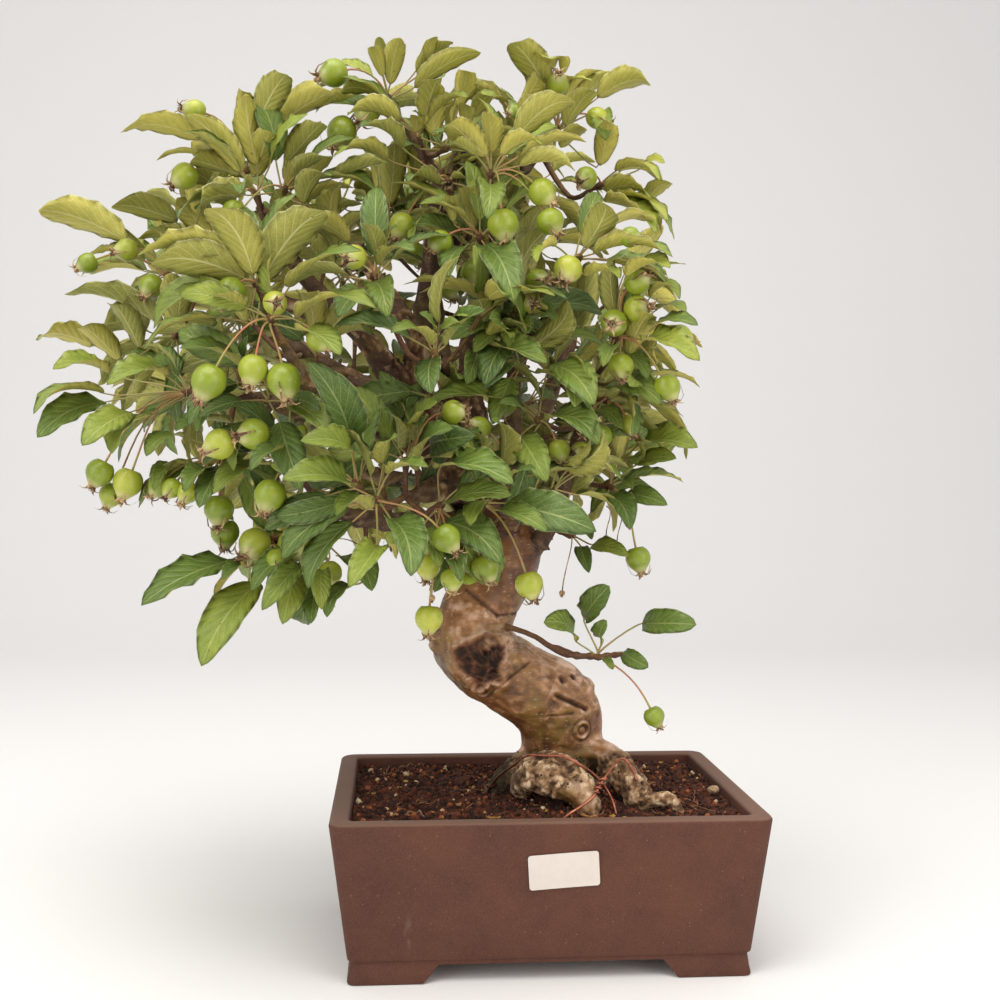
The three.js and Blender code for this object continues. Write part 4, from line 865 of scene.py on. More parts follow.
def copperMaterial():
    material, tree, inputs = newMaterial("copperWire", Metallic=0.85, Roughness=0.42)
    place = objectPlace(tree)
    patches = patchesOn(tree, place, 90.0, 0.36, 0.64)
    colour = mixed(tree, patches, paint(140, 80, 62), paint(200, 128, 102))
    left = addNode(tree, "ShaderNodeSeparateXYZ", {0: place}).outputs[0]
    tarnish = between(tree, left, copperLook["fresh"], copperLook["dull"], 0.0, 0.85)
    tree.links.new(mixed(tree, tarnish, colour, paint(70, 38, 30)), inputs["Base Color"])
    tree.links.new(timesAdd(tree, patches, -0.25, 0.6), inputs["Roughness"])
    bumped(tree, inputs, speckle(tree, 1500.0, vector=place), 0.15, 0.0002)
    return material


copperWire = copperMaterial()
print("materials made")


# Making pieces

def curved(p0, p1, p2, p3, t):
    # Catmull-Rom between p1 and p2, for numbers and vectors alike
    return 0.5 * (2 * p1 + (p2 - p0) * t + (2 * p0 - 5 * p1 + 4 * p2 - p3) * t ** 2
        + (3 * p1 - 3 * p2 + p3 - p0) * t ** 3)


def smoothLine(points, radii, steps):
    line, widths = [], []
    last = len(points) - 1
    for i in range(last):
        near = [max(i - 1, 0), i, i + 1, min(i + 2, last)]
        for step in range(steps):
            line.append(curved(*[points[k] for k in near], step / steps))
            widths.append(curved(*[radii[k] for k in near], step / steps))
    return line + [points[-1]], widths + [radii[-1]]


def woodLine(rows):
    return [seen(*row[:3]) for row in rows], [row[3] for row in rows]


def arc(start, startWay, end, endWay, steps):
    # Points of a stalk that leaves start one way and comes to end the other way
    places = [start, start + startWay, end - endWay, end]
    points = []
    for step in range(steps + 1):
        t = step / steps
        shares = [(1 - t) ** 3, 3 * t * (1 - t) ** 2, 3 * t * t * (1 - t), t ** 3]
        points.append(sum((place * share for place, share in zip(places, shares)), Vector()))
    return points


def tubes(name, lines, sides, materials):
    # One mesh of round tubes. Each line is (points, radii, number of its material).
    curve = bpy.data.curves.new(name, "CURVE")
    curve.dimensions = "3D"
    curve.bevel_depth = 1
    curve.bevel_resolution = sides // 2 - 2
    curve.use_fill_caps = True
    for material in materials:
        curve.materials.append(material)
    for points, radii, number in lines:
        spline = curve.splines.new("POLY")
        spline.points.add(len(points) - 1)
        for point, place, radius in zip(spline.points, points, radii):
            point.co = (*place, 1)
            point.radius = radius
        spline.material_index = number
    holder = bpy.data.objects.new(name, curve)
    mesh = bpy.data.meshes.new_from_object(holder)
    bpy.data.objects.remove(holder)
    bpy.data.curves.remove(curve)
    return mesh


def tubeShape(name, lines, sides):
    bm = bmesh.new()
    bm.from_mesh(tubes(name, lines, sides, []))
    return bm


def meshOf(bm, name):
    mesh = bpy.data.meshes.new(name)
    bm.to_mesh(mesh)
    bm.free()
    return mesh


def only(made, kind):
    return [g for g in made if isinstance(g, kind)]


def bisect(bm, place, way):
    whole = bm.verts[:] + bm.edges[:] + bm.faces[:]
    bmesh.ops.bisect_plane(bm, geom=whole, plane_co=place, plane_no=way)


def modified(bm, *modifiers):
    # The shape after modifiers, each given as (kind, its settings)
    draft = bpy.data.objects.new("draft", meshOf(bm, "draft"))
    intoScene(draft)
    for kind, settings in modifiers:
        modifier = draft.modifiers.new(kind, kind)
        for key, value in settings.items():
            setattr(modifier, key, value)
    made = bpy.data.meshes.new_from_object(draft.evaluated_get(bpy.context.evaluated_depsgraph_get()))
    bpy.data.objects.remove(draft)
    result = bmesh.new()
    result.from_mesh(made)
    return result


def addPiece(name, bm, materials, replaced=(), sharpAngle=None):
    bm.transform(toRow)
    for face in bm.faces:
        face.smooth = True
    if sharpAngle:
        for edge in bm.edges:
            edge.smooth = edge.calc_face_angle(0) < math.radians(sharpAngle)
    mesh = meshOf(bm, name)
    for material in materials:
        mesh.materials.append(material)
    piece = bpy.data.objects.new(name, mesh)
    intoScene(piece)
    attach(piece, "root")
    if replaced:
        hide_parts(*replaced)
    return piece


# Pot

pot = {
    "width": 260, "depth": 190, "height": 96, "taper": 11, "corner": 10, "wall": 12, "floorTop": 23,
    "footHeight": 14, "footLength": 44, "footWidth": 30, "footSlope": 9, "apron": 3.5, "edge": 2.4,
    "drains": [-60, 60], "drainRadius": 9,
}


def wallInset(height):
    # How far the outside of the wall lies inside the rim's outline
    return pot["taper"] * (1 - (height - pot["footHeight"]) / (pot["height"] - pot["footHeight"]))


def roundOff(inset, height, way, steps=4):
    # A quarter round of the rim, as rows of inset and height
    rows = []
    for step in range(steps + 1):
        angle = math.pi / 2 * step / steps
        across = pot["edge"] * (1 - math.cos(angle)), pot["edge"] * (math.sin(angle) - 1)
        rows.append((inset + way * across[0], height + across[1]))
    return rows if way > 0 else rows[::-1]


def roundedPlate(bm, width, depth, corner, segments):
    bmesh.ops.create_grid(bm, x_segments=1, y_segments=1, size=0.5)
    bmesh.ops.scale(bm, vec=(width, depth, 1), verts=bm.verts)
    bmesh.ops.bevel(bm, geom=bm.verts[:], offset=corner, segments=segments, profile=0.5,
        affect="VERTICES", material=-1)


def makePot():
    top, wall = pot["height"], pot["wall"]
    # Rows of inset and height: up the foot and the wall, over the rim, and down inside to the floor
    section = [(12.2, 0), (11.2, 0.5), (10.9, 1.4), (11.9, 6), (12.7, 11.6), (12.9, 13.0), (12.2, 13.7),
        (11.2, 14.2), (wallInset(15.4), 15.4), (wallInset(40), 40), (wallInset(70), 70)]
    section += roundOff(0.3, top, 1) + roundOff(wall, top, -1)
    section += [(wall + wallInset(60), 60), (wall + wallInset(26) + 0.6, 26)]
    section.append((wall + wallInset(pot["floorTop"]) + 3.5, pot["floorTop"]))
    bm = bmesh.new()
    roundedPlate(bm, pot["width"], pot["depth"], pot["corner"], 7)
    ways = {}
    middle = Vector((pot["width"] / 2 - pot["corner"], pot["depth"] / 2 - pot["corner"]))
    face = bm.faces[:][0]
    for vert in face.verts:
        sign = Vector((math.copysign(1, vert.co.x), math.copysign(1, vert.co.y)))
        ways[vert] = (sign, (vert.co.xy - sign * middle) / pot["corner"])

    def shapeTo(ring, inset, height):
        corner = max(pot["corner"] - inset / 2, 3)
        half = Vector((pot["width"] / 2 - inset - corner, pot["depth"] / 2 - inset - corner))
        for vert in ring:
            sign, way = ways[vert]
            vert.co = (*(sign * half + way * corner), height)

    shapeTo(face.verts, *section[0])
    foot = face
    for inset, height in section[1:]:
        before, last = list(face.verts), face
        made = bmesh.ops.extrude_face_region(bm, geom=[face])["geom"]
        face = only(made, bmesh.types.BMFace)[0]
        if last is not foot and last.is_valid:
            bm.faces.remove(last)
        for vert in face.verts:
            near = min(before, key=lambda old: (old.co - vert.co).length_squared)
            ways[vert] = ways[near]
        shapeTo(face.verts, inset, height)
    bmesh.ops.recalc_face_normals(bm, faces=bm.faces)
    return bm


def block(bm, size, place, topInset=(0, 0)):
    # A box whose top is smaller than its foot
    verts = bmesh.ops.create_cube(bm, size=1)["verts"]
    for vert in verts:
        share = vert.co.z + 0.5
        width = Vector(size[:2]) - 2 * share * Vector(topInset)
        vert.co = Vector((vert.co.x * width.x, vert.co.y * width.y, share * size[2])) + Vector(place)


def cutFeet(bm):
    # The foot ring is cut away between the four feet and hollowed under the floor, which is drilled
    spanX = pot["width"] - 2 * (pot["taper"] + pot["footLength"])
    spanY = pot["depth"] - 2 * (pot["taper"] + pot["footLength"])
    rise = pot["footHeight"] - pot["apron"]
    hollow = [pot[side] - 2 * (pot["taper"] + pot["footWidth"]) for side in ("width", "depth")]
    slope = pot["footSlope"]
    shapes = [
        ((spanX + 2 * slope / rise, pot["depth"] + 20, rise + 1), (slope + slope / rise, 0)),
        ((pot["width"] + 20, spanY + 2 * slope / rise, rise + 1), (0, slope + slope / rise)),
        ((hollow[0], hollow[1], rise + 1), (0, 0)),
    ]
    cutters = []
    for size, inset in shapes:
        cutter = bmesh.new()
        block(cutter, size, (0, 0, -1), inset)
        cutters.append(cutter)
    for x in pot["drains"]:
        cutter = bmesh.new()
        bmesh.ops.create_cone(cutter, cap_ends=True, segments=32, radius1=pot["drainRadius"],
            radius2=pot["drainRadius"], depth=80, matrix=Matrix.Translation((x, 0, 0)))
        cutters.append(cutter)
    for cutter in cutters:
        holder = bpy.data.objects.new("cutter", meshOf(cutter, "cutter"))
        intoScene(holder)
        bm = modified(bm, ("BOOLEAN", {"operation": "DIFFERENCE", "object": holder, "solver": "EXACT"}))
        bpy.data.objects.remove(holder)
    return modified(bm, ("BEVEL", {"width": 1.1, "segments": 2, "limit_method": "ANGLE",
        "angle_limit": math.radians(50), "miter_outer": "MITER_ARC"}))


addPiece("pot_body", cutFeet(makePot()), [stoneware], ["pot"], sharpAngle=40)
print("pot made")


# Trunk, roots and main branches

# Heights are above the pot's foot. leg: the lower end of the front root, as seen, which stays smooth.
bark = {
    "voxel": 1.44, "lump": 1.6, "ridge": 0.8, "wrinkle": 0.42, "crag": 0.85, "collar": 116,
    "shoulder": 140, "limb": (246, 300), "shaded": (188, 230), "damp": (92, 99), "leg": (576, 802, -66),
}

# Old wounds and marks as seen, u and v, with their radius in millimetres and what kind they are
scars = [
    {"at": (482, 664), "radius": 17, "kind": "burl"},
    {"at": (507, 641), "radius": 8.5, "kind": "knob"},
    {"at": (433, 646), "radius": 6.5, "kind": "knob"},
    {"at": (436, 662), "radius": 3.6, "kind": "pit"},
    {"at": (482, 690), "radius": 6.5, "kind": "ring"},
    {"at": (583, 731), "radius": 6.5, "kind": "ring"},
    {"at": (563, 680), "radius": 3.4, "kind": "pit"},
    {"at": (573, 677), "radius": 2.2, "kind": "pit"},
    {"at": (519, 706), "radius": 4.2, "kind": "pit"},
    {"at": (590, 684), "radius": 6, "kind": "knob"},
    {"at": (597, 708), "radius": 5, "kind": "knob"},
    {"at": (556, 696), "to": (587, 710), "radius": 2.1, "kind": "slash"},
    {"at": (495, 690), "to": (529, 663), "radius": 2.0, "kind": "line"},
    {"at": (547, 717), "to": (573, 714), "radius": 2.0, "kind": "line"},
    # These two lines run along a fold of the trunk, and their dark is painted shade
    {"at": (466, 590), "to": (497, 616), "radius": 2.8, "kind": "line"},
    {"at": (497, 616), "to": (520, 613), "radius": 2.2, "kind": "line"},
    # The fold's dark is painted shade
    {"at": (552, 676), "to": (550, 724), "radius": 3.0, "kind": "fold"},
]


# Where the front roots swell, as seen, with the depth and the radius
rootShoulders = [
    [[520, 792, -34, 6], [526, 780, -42, 8.5], [540, 776, -50, 10.5], [558, 780, -56, 10],
        [576, 792, -60, 8]],
    [[602, 762, -26, 8], [620, 770, -36, 10], [634, 786, -45, 10], [639, 804, -50, 8.6]],
]


def trunkTubes():
    made = []
    for rows in (trunkLine, branchLines["cutLimb"], *rootLines.values(), *rootShoulders):
        points, radii = smoothLine(*woodLine(rows), 5)
        made.append((points, radii, 0))
    for name, rows in branchLines.items():
        if name != "cutLimb":
            points, radii = smoothLine(*woodLine(rows[:3]), 6)
            keep = 9
            flare = [1.16 - 0.16 * min(i / 6, 1) for i in range(keep)]
            made.append((points[:keep], [r * f for r, f in zip(radii, flare)], 0))
    return made


def surfaceSpot(tree, u, v):
    way = (seen(u, v, 0) - view["eye"]).normalized()
    hit = tree.ray_cast(view["eye"], way)
    return hit[0] or tree.find_nearest(seen(u, v, -8))[0]


def strokeDistance(place, spots):
    # From a mark: one spot, or a line of spots drawn over the bark
    if len(spots) == 1:
        return (place - spots[0]).length
    return min((place - nearestOn(place, start, end)).length for start, end in zip(spots, spots[1:]))


def marksOn(tree):
    marks = []
    for scar in scars:
        (u, v), (endU, endV) = scar["at"], scar.get("to", scar["at"])
        steps = 5 if "to" in scar else 0
        spots = [surfaceSpot(tree, blend(u, endU, k / max(steps, 1)), blend(v, endV, k / max(steps, 1)))
            for k in range(steps + 1)]
        middle = (spots[0] + spots[-1]) / 2
        reach = (spots[0] - middle).length + 2.6 * scar["radius"]
        marks.append((scar["kind"], spots, scar["radius"], middle, reach))
    return marks


def scarEffect(kind, t, place):
    # How far the bark moves out, in millimetres, and how dark it is, t radii from the scar's middle. The
    # dark of a fold, and of a line that runs along a fold, is painted shade.
    gnarl = noise.turbulence(place / 6.5, 2, False, noise_basis="PERLIN_ORIGINAL")
    if kind == "burl":
        # Woody folds that wind about inside a swollen lip
        winding = place / 6 + noise.noise_vector(place / 9) * 1.1
        folds = 1 - 2.6 * abs(perlin(winding))
        out = t + 0.35 * perlin(place / 8)
        rim = bump(out - 1.0, 0.2)
        inside = 1 - ease(0.72, 1.0, out)
        return 1.9 * rim + inside * (1.7 * folds - 2.0), inside * (1 - 0.12 * max(folds, 0)) + 0.3 * rim
    if kind == "fold":
        return -0.9 * bump(t, 0.8), 0.25 * bump(t, 0.7)
    if kind == "ring":
        groove = bump(t - 1.1, 0.12) + bump(t - 0.45, 0.12)
        return 1.1 * bump(t - 0.75, 0.2) + 0.6 * bump(t, 0.3) - 0.5 * groove, 0.7 * groove
    if kind == "knob":
        return (2.6 + 1.5 * gnarl) * bump(t, 0.75), 0.35 * bump(t - 0.9, 0.3)
    if kind == "pit":
        dark = 0.85 * math.exp(-((t + 0.5 * gnarl) / 0.95) ** 4)
        return 0.5 * bump(t - 1.2, 0.3) - 1.5 * bump(t, 0.7), dark
    if kind == "slash":
        return 0.8 * bump(t - 1.3, 0.5) - 1.6 * bump(t, 0.5), bump(t, 0.5)
    return -0.8 * bump(t, 0.5), 0.75 * bump(t, 0.5)


def grainTree(lines):
    # The middle lines of the wood, to say at any place which way its grain runs
    spots = [row for points, radii, _ in lines for row in zip(points, points[1:], radii)]
    found = KDTree(len(spots))
    for number, (place, _, _) in enumerate(spots):
        found.insert(place, number)
    found.balance()
    ways = [(after - place).normalized() for place, after, _ in spots]
    return found, ways, [radius for _, _, radius in spots]


def stretched(place, way, across, along):
    # The place in a space where the grain is drawn out along the wood
    run = place.dot(way)
    return (place - way * run) / across + way * (run / along)


def makeTrunk():
    lines = trunkTubes()
    remesh = {"mode": "VOXEL", "voxel_size": bark["voxel"]}
    bm = modified(tubeShape("trunk", lines, 20), ("REMESH", remesh),
        ("SMOOTH", {"factor": 0.6, "iterations": 6}))
    tree = BVHTree.FromBMesh(bm)
    grain, ways, sizes = grainTree(lines)
    marks = marksOn(tree)
    # The skin is finer where there are marks
    near = {v for v in bm.verts for _, spots, radius, middle, reach in marks
        if (v.co - middle).length < reach and strokeDistance(v.co, spots) < 1.25 * radius}
    finer = [e for e in bm.edges if near.issuperset(e.verts)]
    bmesh.ops.subdivide_edges(bm, edges=finer, cuts=2, use_grid_fill=True)
    cut = seen(*branchLines["cutLimb"][-1][:3])
    leg = seen(*bark["leg"])
    wear = bm.verts.layers.float_color.new("wear")
    relief = bm.verts.layers.float_color.new("relief")
    bm.normal_update()
    moves = []
    for vert in bm.verts:
        place = vert.co
        nearest = grain.find(place)[1]
        way, thick = ways[nearest], min(1, sizes[nearest] / 8.5)
        low = perlin(place / 24)
        lump = perlin(place / 9 + Vector((3, 0, 0)))
        ridge = perlin(stretched(place, way, 8, 30))
        wrinkle = perlin(stretched(place, way, 3.1, 11))
        fine = perlin(place / 1.9)
        collar = bark["collar"] + 7 * perlin(place / 16 + Vector((7, 0, 0)))
        rough = 1 - ease(collar - 4, collar + 2, place.z)
        rough = max(rough, ease(30, 37, -place.y) * (place.z < bark["shoulder"]))
        rough *= 0.25 + 0.75 * ease(9, 16, (place - leg).length)
        limb = ease(*bark["limb"], place.z + 30 * low) * 0.8
        # Old bark: long plates between narrow cracks
        crest = min(3.2 * abs(perlin(stretched(place, way, 4.6, 15))), 1.1)
        move = bark["lump"] * low + 0.7 * lump + bark["ridge"] * ridge * (0.6 + 0.6 * rough)
        move += bark["wrinkle"] * wrinkle * (0.5 + max(rough, limb)) + 0.14 * fine
        move = thick * (move + rough * (bark["crag"] * crest + 0.8 * lump - 0.5))
        move += limb * (0.8 * crest - 0.5)
        # height sets the bark's tone: low in the hollows, which paints shade into them
        height = 0.5 + 0.35 * low + 0.4 * lump + 0.45 * ridge + 0.6 * wrinkle
        # Painted shade of the crown over the top of the trunk
        height -= 0.6 * ease(*bark["shaded"], place.z)
        height = blend(height, 0.22 + 0.42 * crest + 0.6 * wrinkle + 0.35 * lump, max(rough, limb))
        # Dark of old wounds and the cut, and painted shade in the folds
        woundAndCreaseShade = 0.0
        for kind, spots, radius, middle, reach in marks:
            if (place - middle).length > reach:
                continue
            away = strokeDistance(place, spots) / radius
            if away < 2.6:
                out, dark = scarEffect(kind, away, place)
                move += out
                height += 0.2 * out
                woundAndCreaseShade = max(woundAndCreaseShade, dark)
        fromCut = (place - cut).length
        knuckle = 1 - ease(13, 26, fromCut)
        craggy = 1 - abs(perlin(place / 4.6)) * 2.4
        move += knuckle * (2.4 * craggy - 0.8)
        woundAndCreaseShade = max(woundAndCreaseShade, knuckle * (0.5 + 0.4 * craggy))
        ring = bump(place.z - collar + 0.5, 2.6) if place.z < bark["shoulder"] - 5 else 0
        move -= 1.2 * ring
        damp = 1 - ease(*bark["damp"], place.z)
        hollow = rough * (1 - ease(0.0, 0.22, height))
        clump = rough * (1 - ease(-23, -15, place.x))
        moss = max(ring * (0.8 + fine) * (place.y > -33), damp * 0.5, hollow * 0.25, clump)
        vert[wear] = [min(max(share, 0), 1) for share in (woundAndCreaseShade, max(rough, limb, knuckle), moss)] + [1]
        vert[relief] = [min(max(share, 0), 1) for share in (height, low + 0.5, rough)] + [1]
        moves.append(vert.normal * move)
    for vert, move in zip(bm.verts, moves):
        vert.co += move
    bm.normal_update()
    return bm


trunk = makeTrunk()
trunkTree = BVHTree.FromBMesh(trunk)
print("trunk made:", len(trunk.faces), "faces")
addPiece("trunk_and_roots", trunk, [trunkBark], ["trunk_and_branches"])


def makeBranches():
    lines = []
    for number, (name, rows) in enumerate(branchLines.items()):
        if name == "cutLimb":
            continue
        points, radii = smoothLine(*woodLine(rows), 9)
        random = draws(7000 + number)
        knots = [random() for _ in points]
        widths = [r * (0.96 + 0.16 * (k > 0.78) + 0.06 * k) for r, k in zip(radii, knots)]
        wander = [noise.noise_vector(p / 13) * min(r * 0.24, 0.9) for p, r in zip(points, radii)]
        points = [p + w for p, w in zip(points, wander)]
        lines.append((points, widths, 0))
        for i in range(8, len(points) - 2):
            if random() < 0.42:
                # A bud or the stub of an old spur
                along = (points[i + 1] - points[i]).normalized()
                way = along.orthogonal().normalized()
                way = Quaternion(along, random() * 6.3) @ way
                tip = points[i] + way * (radii[i] + 1.5 + 2.5 * random()) + along * 1.5
                lines.append(([points[i], tip.lerp(points[i], 0.35), tip], [1.6, 1.5, 0.7], 0))
    bm = tubeShape("branches", lines, 12)
    wear = bm.verts.layers.float_color.new("wear")
    relief = bm.verts.layers.float_color.new("relief")
    for vert in bm.verts:
        rough = ease(0.0, 0.35, perlin(vert.co / 11))
        vert[wear] = (0, rough * 0.6, 0, 1)
        vert[relief] = (0.5 + perlin(vert.co / 3), 0.5, 0, 1)
    return bm


addPiece("branches", makeBranches(), [branchBark], ["trunk_and_branches"])
print("branches made")


# Soil and what lies on it

soil = {
    "drop": 5, "mound": 7, "moundAt": (15, -18), "spread": 55, "gap": 0.3, "cell": 1.7,
    "rough": 1.7, "roll": 1.1,
    "crumbs": 5600, "grit": 110, "fibres": 46, "flakes": 26,
}


def soilHeight(x, y):
    away = math.hypot(x - soil["moundAt"][0], y - soil["moundAt"][1])
    mound = soil["mound"] * bump(away, soil["spread"])
    rises = 0.9 * math.sin(x / 13 + 1) * math.cos(y / 11) + 0.5 * math.sin(x / 5 + y / 7)
    return pot["height"] - soil["drop"] + mound + rises


def soilSurface(x, y):
    place = Vector((x, y, 0))
    crumbly = noise.turbulence(place / 3.4, 3, False, noise_basis="PERLIN_ORIGINAL")
    return soilHeight(x, y) + soil["rough"] * crumbly - 0.9 + soil["roll"] * perlin(place / 9)


def soilReach(height):
    inset = pot["wall"] + soil["gap"] + wallInset(height)
    return pot["width"] / 2 - inset, pot["depth"] / 2 - inset


def makeSoil():
    width, depth = soilReach(pot["height"] - soil["drop"])
    bm = bmesh.new()
    cells = [int(2 * reach / soil["cell"]) for reach in (width, depth)]
    bmesh.ops.create_grid(bm, x_segments=cells[0], y_segments=cells[1], size=1)
    tint = bm.verts.layers.float_color.new("tint")
    for vert in bm.verts:
        x, y = vert.co.x * width, vert.co.y * depth
        vert.co = (x, y, soilSurface(x, y))
        tone = 0.36 + 0.3 * perlin(vert.co / 5)
        damp = bump(math.hypot(x - 15, y + 30), 34)
        vert[tint] = (tone - 0.2 * damp, 0, 0, 1)
    floor = pot["floorTop"] + 1.6
    lowWidth, lowDepth = soilReach(floor)
    rim = [e for e in bm.edges if e.is_boundary]
    made = bmesh.ops.extrude_edge_only(bm, edges=rim)["geom"]
    for vert in only(made, bmesh.types.BMVert):
        vert.co = (vert.co.x * lowWidth / width, vert.co.y * lowDepth / depth, floor)
    bmesh.ops.edgeloop_fill(bm, edges=[e for e in bm.edges if e.is_boundary])
    bmesh.ops.recalc_face_normals(bm, faces=bm.faces)
    return bm


def crumbShape(name, subdivisions, seed):
    bm = bmesh.new()
    bmesh.ops.create_icosphere(bm, subdivisions=subdivisions, radius=1)
    random = draws(seed)
    for vert in bm.verts:
        vert.co *= 0.72 + 0.5 * random()
    bm.verts.layers.float_color.new("tint")
    return meshOf(bm, name)


def scatter(bm, shapes, spots):
    # Each spot is (place, size, its three stretches, turn, tone)
    bm.verts.layers.float_color.new("tint")
    for number, (place, size, stretch, turn, tone) in enumerate(spots):
        start = len(bm.verts)
        bm.from_mesh(shapes[number % len(shapes)])
        bm.verts.ensure_lookup_table()
        tint = bm.verts.layers.float_color["tint"]
        sizes = Matrix.Diagonal((*(Vector(stretch) * size), 1))
        move = Matrix.Translation(place) @ turn.to_matrix().to_4x4() @ sizes
        for vert in bm.verts[start:]:
            vert.co = move @ vert.co
            vert[tint] = (tone, 0, 0, 1)


def turned(random):
    axis = Vector((random() - 0.5, random() - 0.5, random() - 0.5)).normalized()
    return Quaternion(axis, random() * 6.28)


def onSoil(random, margin=2.5):
    width, depth = soilReach(pot["height"])
    return (2 * random() - 1) * (width - margin), (2 * random() - 1) * (depth - margin)


def makeCrumbs():
    random = draws(31)
    spots = []
    for number in range(soil["crumbs"] + soil["grit"]):
        x, y = onSoil(random)
        isGrit = number >= soil["crumbs"]
        size = (0.5 + 1.5 * random() ** 2.6) * (1.25 if isGrit else 1)
        place = Vector((x, y, soilSurface(x, y) + 0.25 * size))
        pick = random()
        if isGrit:
            tone = 0.86 + 0.14 * random()
        else:
            tone = 0.08 + 0.5 * pick if pick < 0.9 else 0.62 + 0.2 * random()
        stretch = (0.8 + 0.5 * random(), 0.7 + 0.4 * random(), 0.6 + 0.4 * random())
        spots.append((place, size, stretch, turned(random), tone))
    bm = bmesh.new()
    scatter(bm, [crumbShape("crumb", 1, seed) for seed in range(41, 46)], spots)
    return bm


moss = {
    "tufts": 900, "round": (563, 752, 0), "forward": 12, "reach": 70, "low": 96, "high": 118,
    "collar": 114,
}


def makeMoss():
    # Moss, bark dust and dirt that cling round the collar and between the roots
    random = draws(57)
    spots = []
    middle = seen(*moss["round"]) - Vector((0, moss["forward"], 0))
    for _ in range(moss["tufts"]):
        angle = 2 * math.pi * random()
        height = moss["low"] + (moss["high"] - moss["low"]) * random() ** 0.8
        way = Vector((-math.cos(angle), -math.sin(angle), 0)) * moss["reach"]
        start = Vector((middle.x, middle.y, height)) - way
        hit = trunkTree.ray_cast(start, way.normalized())
        if hit[0] is None:
            continue
        patch = perlin(hit[0] / 7)
        nearCollar = bump(height - moss["collar"], 5)
        onRoot = 0.45 * ease(28, 36, -hit[0].y)
        if patch + nearCollar * 0.75 - onRoot < 0.24 + 0.3 * random():
            continue
        size = 0.4 + 0.75 * random() ** 2
        spots.append((hit[0], size, (1, 0.9, 0.8), turned(random), 0.1 + 0.75 * random() ** 1.6))
    bm = bmesh.new()
    scatter(bm, [crumbShape("tuft", 1, seed) for seed in range(61, 64)], spots)
    return bm


def makeFibres():
    # Fine rootlets that lie on the soil
    random = draws(73)
    lines = []
    for _ in range(soil["fibres"]):
        x, y = onSoil(random, 12)
        angle, bend = 6.28 * random(), (random() - 0.5) * 0.5
        step = 1.4 + 1.6 * random()
        points = []
        for i in range(7 + int(7 * random())):
            lift = 0.9 + 1.6 * random() * (i % 3 == 1)
            points.append(Vector((x, y, soilSurface(x, y) + lift)))
            x, y = x + step * math.cos(angle), y + step * math.sin(angle)
            width, depth = soilReach(pot["height"])
            x, y = min(max(x, 2 - width), width - 2), min(max(y, 2 - depth), depth - 2)
            angle += bend + (random() - 0.5) * 0.5
        points[0].z -= 2.5
        points[-1].z -= 2
        thick = 0.22 + 0.35 * random() ** 2
        points, radii = smoothLine(points, [thick] * len(points), 2)
        lines.append((points, radii, 0))
    return tubeShape("fibres", lines, 4)


def makeFlakes():
    # Bits of dead leaf and bark: the larger ones where they are seen, the rest scattered
    random = draws(91)
    placed = [((589, 816), 5.2), ((493, 813), 4.5), ((505, 819), 2.6), ((546, 818), 2.4),
        ((459, 803), 2.8)]
    spots = []
    for (u, v), size in placed:
        foot = seen(u, v, -60)
        way = (foot - view["eye"]).normalized()
        share = (pot["height"] - soil["drop"] + 4 - view["eye"].z) / way.z
        spot = view["eye"] + way * share
        spots.append((spot.x, max(spot.y, -82), size))
    for _ in range(soil["flakes"]):
        spots.append((*onSoil(random, 6), 0.9 + 1.6 * random()))
    bm = bmesh.new()
    for x, y, size in spots:
        made = bmesh.ops.create_grid(bm, x_segments=3, y_segments=3, size=1)["verts"]
        turn = Matrix.Rotation(6.28 * random(), 4, "Z")
        turn = turn @ Matrix.Rotation(0.5 * (random() - 0.5), 4, "X")
        lift = soilSurface(x, y) + 0.8
        for vert in made:
            out = vert.co.length
            vert.co *= 1 - 0.22 * max(out - 1, 0) - 0.2 * random()
            vert.co.z = 0.22 * out * out + 0.1 * random()
            vert.co = turn @ (vert.co * size * Vector((1, 0.7, 1)))
            vert.co += Vector((x, y, lift))
    bmesh.ops.solidify(bm, geom=bm.faces[:], thickness=0.3)
    bmesh.ops.recalc_face_normals(bm, faces=bm.faces)
    return bm


addPiece("soil_bed", makeSoil(), [soilEarth], ["soil"], sharpAngle=60)
addPiece("soil_crumbs", makeCrumbs(), [soilEarth])
addPiece("moss_and_dirt", makeMoss(), [mossGreen])
addPiece("rootlets", makeFibres(), [rootFibre])
addPiece("dead_leaf_bits", makeFlakes(), [deadLeaf])
print("soil made")


# Pebble, tag, wires and drain screens

def makePebble():
    low, high = (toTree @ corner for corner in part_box("pebble"))
    bm = bmesh.new()
    bmesh.ops.create_icosphere(bm, subdivisions=4, radius=1)
    for vert in bm.verts:
        vert.co *= 1 + 0.12 * perlin(vert.co * 1.7)
    half, middle = (high - low) / 2, (high + low) / 2
    bmesh.ops.scale(bm, vec=half * 1.03, verts=bm.verts)
    bmesh.ops.translate(bm, vec=middle, verts=bm.verts)
    return bm


tag = {
    "width": 41, "height": 21, "corner": 1.8, "thickness": 0.35, "tilt": -0.07, "at": (5.5, 67.5),
    "curl": 0.35, "columns": 12, "off": 0.62,
}


